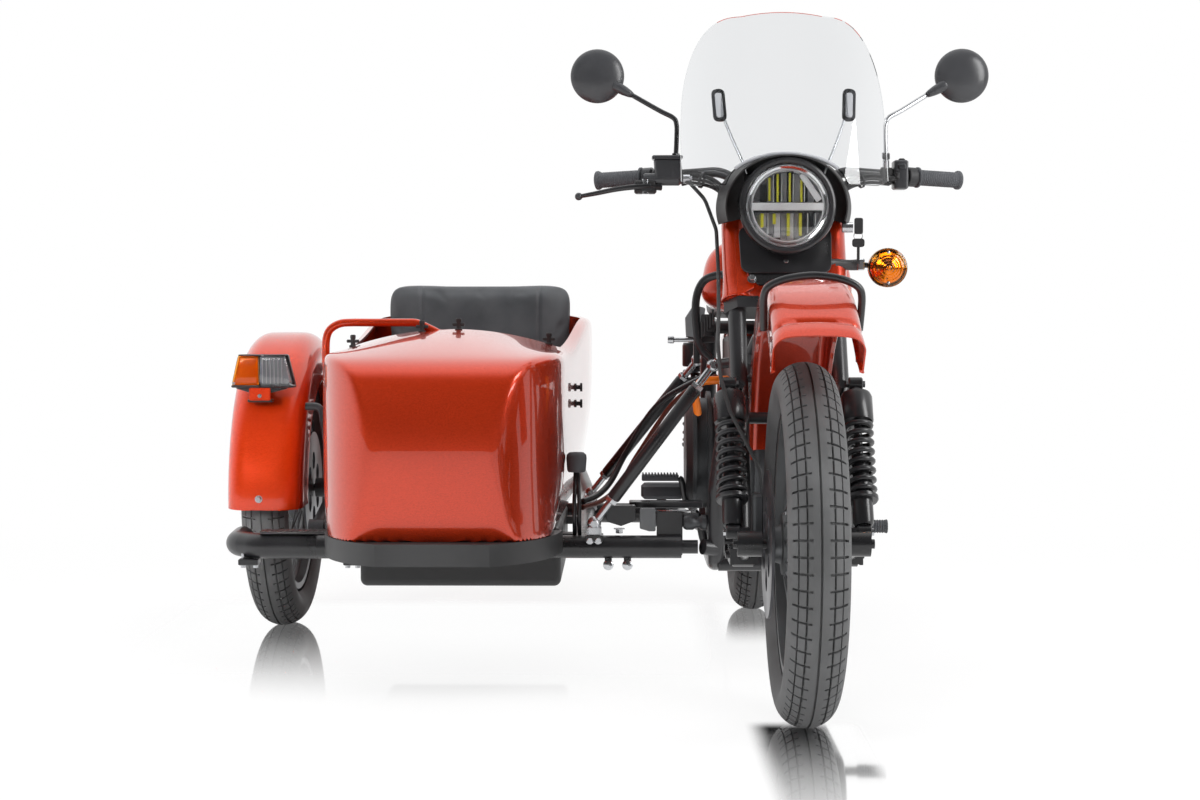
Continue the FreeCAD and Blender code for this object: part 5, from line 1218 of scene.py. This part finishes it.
def make_footrests():
    """Ribbed rubber sleeves turned about X on plain bars, and a toothed pedal above the right one."""
    parts = []
    for side, x0, inner, z in ((1, 206, 206, 286), (-1, -272, -206, 300)):
        ribs = [(a, 14.2 + 1.2 * (math.sin(a / 6 * 2 * math.pi) > 0)) for a in np.linspace(4, 62, 60)]
        parts += [turned([(0, 13.5), *ribs, (64, 16.5), (66, 15)], at(x0, -650, z), X, GRIP_RUBBER),
                  tube([(side * 137, -650, 235), (side * 152, -650, 256), (side * 162, -650, z - 4),
                        (side * 180, -650, z), (inner, -650, z)], 10.5, BLACK, 8, 18)]
    arm = [(-212, -729, 404), (-206, -728, 396), (-196, -700, 350), (-170, -660, 318), (-158, -646, 300)]
    parts += [tube([(-250, -674, 322), (-200, -668, 312), (-150, -650, 300)], 9, BLACK, 6),
              tube(arm, 7, BLACK)]
    parts += blocks(((-297, -742, 398), (-213, -716, 412), 3, GRIP_RUBBER),
                    ((-298, -700, 352), (-198, -645, 388), 12, GRIP_RUBBER),
                    ((-204, -694, 356), (-186, -652, 382), 6, BLACK),
                    ((-262, -684, 318), (-240, -664, 354), 3, BLACK),
                    *[((x, -745, 409), (x + 3.5, -715, 416), 1, GRIP_RUBBER) for x in range(-296, -216, 7)])
    placed("footrests_and_pedal", parts, "chassis", "black_enamel", "footrests")


def make_knee_side():
    """Beside the tank's front: a bent tube, an angular cover, a ribbed plug and a rod; and two leads."""
    route = [(-144, -924, 672), (-172, -912, 706), (-181, -900, 760), (-180, -895, 812), (-166, -897, 846),
             (-140, -903, 860), (-108, -908, 862)]
    rod = [(0, 7.5), (12, 8.5), (14, 5), (60, 4.2), (64, AXIS_RADIUS)]
    cover = [(-202, 728), (-170, 722), (-160, 790), (-186, 796), (-204, 768)]
    parts = [tube(route, 8.8, BLACK, 10, 20), turned(rod, at(-242, -886, 720), X, STEEL, 20)]
    parts += plates((cover, 6, -868, 30, GREY_PLASTIC))
    parts += blocks(((-170, -904, 738), (-140, -886, 776), 4, PLASTIC),
                    ((-184, -898, 714), (-140, -876, 728), 3, BLACK),
                    ((-186, -896, 668), (-172, -878, 728), 3, BLACK),
                    *[((6 * i - 171, -916, 7 * i + 725), (6 * i - 166, -894, 7 * i + 759), 1.5, PLASTIC)
                      for i in range(5)])
    placed("knee_side_fittings", parts, "chassis", "black_enamel")
    leads = [tube([(-436, -520, 330), (-400, -470, 342), (-368, -420, 372), (-330, -380, 440),
                   (-250, -400, 560), (-120, -480, 640)], 7.5, BLACK, 10, 12),
             tube([(-436, -540, 318), (-392, -480, 328), (-350, -430, 360), (-300, -400, 440),
                   (-210, -430, 570), (-118, -520, 630)], 6, CABLE_BROWN, 10, 12)]
    placed("sidecar_leads", leads, "chassis", "soft_rubber")


def make_tank():
    """The tank cover: superellipse sections whose width, base and crown are smooth curves along the bike."""
    stations = [-912, -880, -780, -640, -500, -420]
    y = np.linspace(-910, -422, 90)[:, None]
    half = spline(y, stations, [72, 128, 159, 157, 130, 86])
    low = spline(y, stations, [800, 781, 774, 774, 774, 778])
    top = spline(y, stations, [886, 929, 944, 940, 904, 858])
    cross, rise = np.cos(around(96)), np.sin(around(96))
    middle, tall = 0.5 * (top + low), 0.5 * (top - low)
    z = middle + tall * np.sign(rise) * np.abs(rise) ** 0.62
    x = half * np.sign(cross) * np.abs(cross) ** 0.72 * (1 - 0.10 * np.clip((z - middle) / tall, -1, 1))
    rings = np.stack([x, np.broadcast_to(y, x.shape), z], axis=-1)
    tank = outward(closed_rings([0, -914, middle[0, 0]], rings, [0, -418, middle[-1, 0]]))
    placed("tank_cover", [paint(sharpen(tank, 60), ORANGE)], "chassis", "orange_paint", "fuel_tank")
    cap = [(-4, 33), (2, 34), (4, 30), (10, 28), (14, 24), (15, AXIS_RADIUS)]
    placed("tank_cap", [turned(cap, at(0, -745, 942), (0, 0.02, 1), CHROME, 48)], "chassis", "chrome_trim")


def pad_form(half, centre, edge, columns, rows):
    """A rounded box form: a superellipse carried round, with crowned faces."""
    def power(value):
        return np.sign(value) * np.abs(value) ** edge

    u, v = around(columns), np.linspace(-math.pi / 2, math.pi / 2, rows)[1:-1, None]
    x, y = power(np.cos(v)) * power(np.cos(u)), power(np.cos(v)) * power(np.sin(u))
    rings = np.stack([x, y, np.broadcast_to(power(np.sin(v)), x.shape)], axis=-1) * half + centre
    return closed_rings(centre - Z * half, rings, centre + Z * half)


PAD_VOXEL = 0.006
PAD_PRESSURE = 4.0
PAD_FRAMES = 20


def puffed(piece, cap):
    """Swell a closed form as cloth under pressure, held to a largest move in metres, and smooth it once."""
    modified(piece, "REMESH", mode="VOXEL", voxel_size=PAD_VOXEL)
    before, after = np.empty((2, len(piece.data.vertices) * 3))
    piece.data.vertices.foreach_get("co", before)
    cloth = piece.modifiers.new("cloth", "CLOTH")
    cloth.settings.use_pressure = True
    cloth.settings.uniform_pressure_force = PAD_PRESSURE
    cloth.settings.effector_weights.gravity = 0.0
    for number in range(1, PAD_FRAMES + 1):
        bpy.context.scene.frame_set(number)
    seen = piece.evaluated_get(bpy.context.evaluated_depsgraph_get())
    seen.data.vertices.foreach_get("co", after)
    piece.modifiers.remove(cloth)
    move = (after - before).reshape(-1, 3)
    move *= np.minimum(1.0, cap / np.maximum(np.linalg.norm(move, axis=1, keepdims=True), 1e-9))
    piece.data.vertices.foreach_set("co", before + move.ravel())
    bpy.context.scene.frame_set(1)
    modified(piece, "SUBSURF", levels=1, render_levels=1)
    piece.data.polygons.foreach_set("use_smooth", np.ones(len(piece.data.polygons), dtype=bool))
    return piece


def seam(points, along, where, width, depth):
    """How deep a sewn line presses in at each point, by its distance from the line."""
    return depth * np.exp(-((points[:, along] - where) / width) ** 2)


def seated(name, piece, node):
    """A finished pad: its vinyl, its place and the node it stands for."""
    placed(name, [paint(piece, VINYL)], "chassis", "grey_vinyl", node)


def make_seats():
    """Backrest, cushion and saddle: closed forms swollen as cloth, then their seams pressed in."""
    middle = np.array([-705, -148, 661])

    def back_seams(p):
        """Two upright seams, sides that lean back and a welt round the face."""
        face = np.clip((-150 - p[:, 1]) / 20, 0, 1)
        press = seam(p, 0, -850, 4.5, 6.0) + seam(p, 0, -552, 4.5, 6.0)
        lean = 24 * np.clip((np.abs(p[:, 0] + 701) - 149) / 95, 0, 1) ** 1.3
        out = (p - middle) / [240, 45, 200]
        size = np.maximum(np.abs(out[:, 0]), np.abs(out[:, 2]))
        edge = np.clip((size - 0.93) / 0.05, 0, 1) * seam(p, 1, -150, 3.0, 2.5)
        return p + np.stack([np.sign(out[:, 0]) * edge * (np.abs(out[:, 0]) > 0.93), face * (press + lean),
                             edge * (out[:, 2] > 0.93)], axis=1)

    def cushion_seams(p):
        """Three seams in the top face."""
        press = seam(p, 0, -790, 4.0, 5.0) + seam(p, 0, -634, 4.0, 5.0) + seam(p, 1, -500, 4.0, 4.0)
        return p - (press * (p[:, 2] > 400))[:, None] * Z

    def saddle_shape(p):
        """Narrow at the front, with a dip for the rider."""
        share = np.clip((p[:, 1] + 405) / 260, 0, 1)
        narrow = 0.68 + 0.32 * share * share * (3 - 2 * share)
        dip = seam(p, 1, -235, 75, 9) * (p[:, 2] > 806)
        return np.stack([p[:, 0] * narrow, p[:, 1], p[:, 2] - dip], axis=1)

    def saddle_seams(p):
        """Five seams across the top."""
        press = sum(seam(p, 1, y, 3.5, 3.5) for y in (-300, -250, -20, 30, 80))
        return p - (press * (p[:, 2] > 815))[:, None] * Z

    back = puffed(pad_form([236, 36, 196], middle, 0.16, 72, 44), 0.009)
    seated("passenger_backrest", reshape(back, back_seams), "sidecar_backrest")
    cushion = puffed(pad_form([203, 206, 58], np.array([-712, -420, 386]), 0.22, 64, 36), 0.010)
    seated("passenger_cushion", reshape(cushion, cushion_seams), "sidecar_cushion")
    saddle = reshape(pad_form([124, 268, 31], np.array([0, -129, 806]), 0.26, 96, 36), saddle_shape)
    seated("saddle_pad", reshape(puffed(saddle, 0.008), saddle_seams), "rider_saddle")


# Making the pieces

make_tub()
make_guard("front_mudguard", "steering", "front_fender", at(0, -1490, 400), 440.0,
           guard_section(79, 78, 24, 3.5), 12, 131, 150, front_visor)
make_guard("rear_mudguard", "chassis", "rear_fender", at(0, 6, 353), 380.0, guard_section(80, 74, 26, 3.5),
           -4, 118, 110)
make_guard("sidecar_mudguard", "chassis", "sidecar_fender", at(-1174.5, -278, 343), 387.0,
           guard_section(88, 118, 50, 4.0), -2, 183, 150)
make_rails()
make_headlamp()
make_windscreen()
make_screen_stays()
make_mirrors()
make_grips()
make_hand_controls()
make_bar_cables()
make_nacelle()
make_cover_lips()
make_turn_signal()
make_fender_lamp()
make_studs()
make_step()
make_side_details()
make_struts()
make_footrests()
make_knee_side()
make_tank()
make_seats()
make_tyre("front", at(0, -1500, 343))
make_tyre("rear", at(0, 0, 343))
make_tyre("sidecar", at(-1185, -278, 343))
make_spring_legs()


# Studio

def calculated(tree, operation, first, second):
    """Two outputs added, multiplied or compared."""
    node = tree.nodes.new("ShaderNodeMath")
    node.operation = operation
    tree.links.new(first, node.inputs[0])
    tree.links.new(second, node.inputs[1])
    return node.outputs["Value"]


def parted(tree, output):
    """The three numbers of a texture coordinate."""
    place = tree.nodes.new("ShaderNodeTexCoord")
    node = tree.nodes.new("ShaderNodeSeparateXYZ")
    tree.links.new(place.outputs[output], node.inputs["Vector"])
    return node.outputs


def studio_floor():
    """A pale sweep: flat floor that bends up into a backdrop far behind."""
    run = np.linspace(-7.0, 12.0, 80)
    height = np.where(run > 4.0, (run - 4.0) ** 2 * 0.30, 0.0)
    axes = np.broadcast_arrays(np.linspace(-12.0, 12.0, 8), run[:, None], height[:, None])
    floor = grid_piece(np.stack(axes, axis=-1), flip=True)
    floor.name = floor.data.name = "studio_floor"
    material = bpy.data.materials.new("pale_floor")
    material.use_nodes = True
    tree = material.node_tree
    shader = tree.nodes["Principled BSDF"]
    shader.inputs["Base Color"].default_value = (0.88, 0.88, 0.88, 1.0)
    shader.inputs["Roughness"].default_value = 0.9
    shader.inputs["Specular IOR Level"].default_value = 0.0
    glow = tree.nodes.new("ShaderNodeEmission")
    gloss = tree.nodes.new("ShaderNodeBsdfGlossy")
    gloss.inputs["Roughness"].default_value = 0.045
    gloss.inputs["Color"].default_value = (1.0, 1.0, 1.0, 1.0)
    fresnel = tree.nodes.new("ShaderNodeFresnel")
    fresnel.inputs["IOR"].default_value = 1.55
    path = tree.nodes.new("ShaderNodeLightPath")
    place = parted(tree, "Object")

    def fade(axis, start, end, low, high):
        """A smooth change from one number to another along an axis."""
        return ramp(tree, place[axis], start, end, low, high, "SMOOTHSTEP")

    def product(first, second):
        return calculated(tree, "MULTIPLY", first, second)

    def mixed(factor, first, second):
        """One shader over another."""
        node = tree.nodes.new("ShaderNodeMixShader")
        tree.links.new(factor, node.inputs["Fac"])
        tree.links.new(first, node.inputs[1])
        tree.links.new(second, node.inputs[2])
        return node.outputs["Shader"]

    left = product(fade("Y", -0.72, 0.25, 0.0, 0.9), fade("X", 0.22, 0.30, 1.0, 0.0))
    between = product(fade("X", 0.29, 0.34, 0.0, 1.0), fade("X", 0.48, 0.52, 1.0, 0.0))
    front = product(product(between, fade("Y", -0.92, -0.84, 1.0, 0.0)), fade("Y", -1.75, -0.95, 0.25, 1.0))
    rear = product(between, fade("Y", 0.0, 0.42, 0.0, 0.8))
    wheels = calculated(tree, "ADD", calculated(tree, "ADD", left, front), rear)
    limits = product(fade("Y", 0.62, 0.80, 1.0, 0.0), fade("X", -1.15, -0.95, 0.0, 1.0))
    seen = calculated(tree, "MAXIMUM", path.outputs["Is Camera Ray"], path.outputs["Is Glossy Ray"])
    share = product(seen, fade("Y", 0.2, 2.6, 0.86, 1.0))
    pale = mixed(share, shader.outputs["BSDF"], glow.outputs["Emission"])
    polish = product(fresnel.outputs["Fac"], product(wheels, limits))
    surface = mixed(polish, pale, gloss.outputs["BSDF"])
    tree.links.new(surface, tree.nodes["Material Output"].inputs["Surface"])
    paint(floor, material)


def world_light():
    """White for the camera and dimmer for other rays; gloss and glass see bright air behind and above."""
    world = bpy.data.worlds.new("studio_air")
    bpy.context.scene.world = world
    world.use_nodes = True
    tree = world.node_tree
    path = tree.nodes.new("ShaderNodeLightPath")
    place = parted(tree, "Generated")

    def blend(factor, first, second):
        """A value between two others."""
        node = tree.nodes.new("ShaderNodeMix")
        tree.links.new(factor, node.inputs["Factor"])
        for label, value in (("A", first), ("B", second)):
            if isinstance(value, float):
                node.inputs[label].default_value = value
            else:
                tree.links.new(value, node.inputs[label])
        return node.outputs["Result"]

    above = ramp(tree, place["Z"], 0.60, 0.95, 0.0, 0.14, "SMOOTHSTEP")
    behind_camera = ramp(tree, place["Y"], -0.55, 0.25, 0.06, 1.0, "SMOOTHSTEP")
    mirrored = calculated(tree, "MAXIMUM", path.outputs["Is Glossy Ray"], path.outputs["Is Transmission Ray"])
    air = blend(mirrored, 0.42, calculated(tree, "MAXIMUM", above, behind_camera))
    background = tree.nodes["Background"]
    tree.links.new(blend(path.outputs["Is Camera Ray"], air, 1.0), background.inputs["Strength"])
    background.inputs["Color"].default_value = (1.0, 1.0, 1.0, 1.0)


def lamp(name, place, target, width, height, power, in_gloss=False, cone=180.0):
    """A rectangular soft box at a place, aimed at a target; only some light glossy surfaces."""
    light = bpy.data.lights.new(name, "AREA")
    light.shape = "RECTANGLE"
    light.size = width
    light.size_y = height
    light.energy = power
    light.spread = math.radians(cone)
    holder = bpy.data.objects.new(name, light)
    bpy.context.scene.collection.objects.link(holder)
    holder.location = place
    holder.visible_glossy = in_gloss
    holder.rotation_euler = (Vector(target) - Vector(place)).to_track_quat("-Z", "Y").to_euler()


CAMERA_PLACE = at(-345, -5200, 770)
FOCAL_PX = 1970.0
PHOTO_WIDTH = 1200.0
SENSOR_MM = 36.0
CENTRE_PX = (600.0, 400.0)
LEVEL_PX = (620.7, 317.0)


def set_camera():
    """The photograph's viewpoint: level line at its pixel row, turned to put the axis at the centre."""
    camera = bpy.data.cameras.new("photo_camera")
    camera.sensor_width = SENSOR_MM
    camera.lens = SENSOR_MM * FOCAL_PX / PHOTO_WIDTH
    holder = bpy.data.objects.new("photo_camera", camera)
    bpy.context.scene.collection.objects.link(holder)
    pitch = math.atan((CENTRE_PX[1] - LEVEL_PX[1]) / FOCAL_PX)
    yaw = math.atan((LEVEL_PX[0] - CENTRE_PX[0]) / FOCAL_PX)
    holder.location = CAMERA_PLACE
    holder.rotation_euler = (math.pi / 2 - pitch, 0.0, yaw)
    bpy.context.scene.camera = holder


studio_floor()
world_light()
set_camera()
lamp("key_box", (-2.6, -4.4, 3.6), (0.0, 0.0, 0.6), 3.0, 2.0, 165.0)
lamp("right_box", (3.6, -2.2, 2.4), (0.0, 0.0, 0.6), 1.4, 3.0, 110.0, in_gloss=True)
lamp("guard_box", (-1.9, -3.1, 1.3), (-0.80, -0.05, 0.50), 0.25, 0.25, 1.15, cone=14.0)
lamp("top_box", (0.0, 0.2, 4.2), (0.0, 0.0, 0.0), 4.0, 3.0, 150.0)
bpy.context.scene.view_settings.view_transform = "Standard"
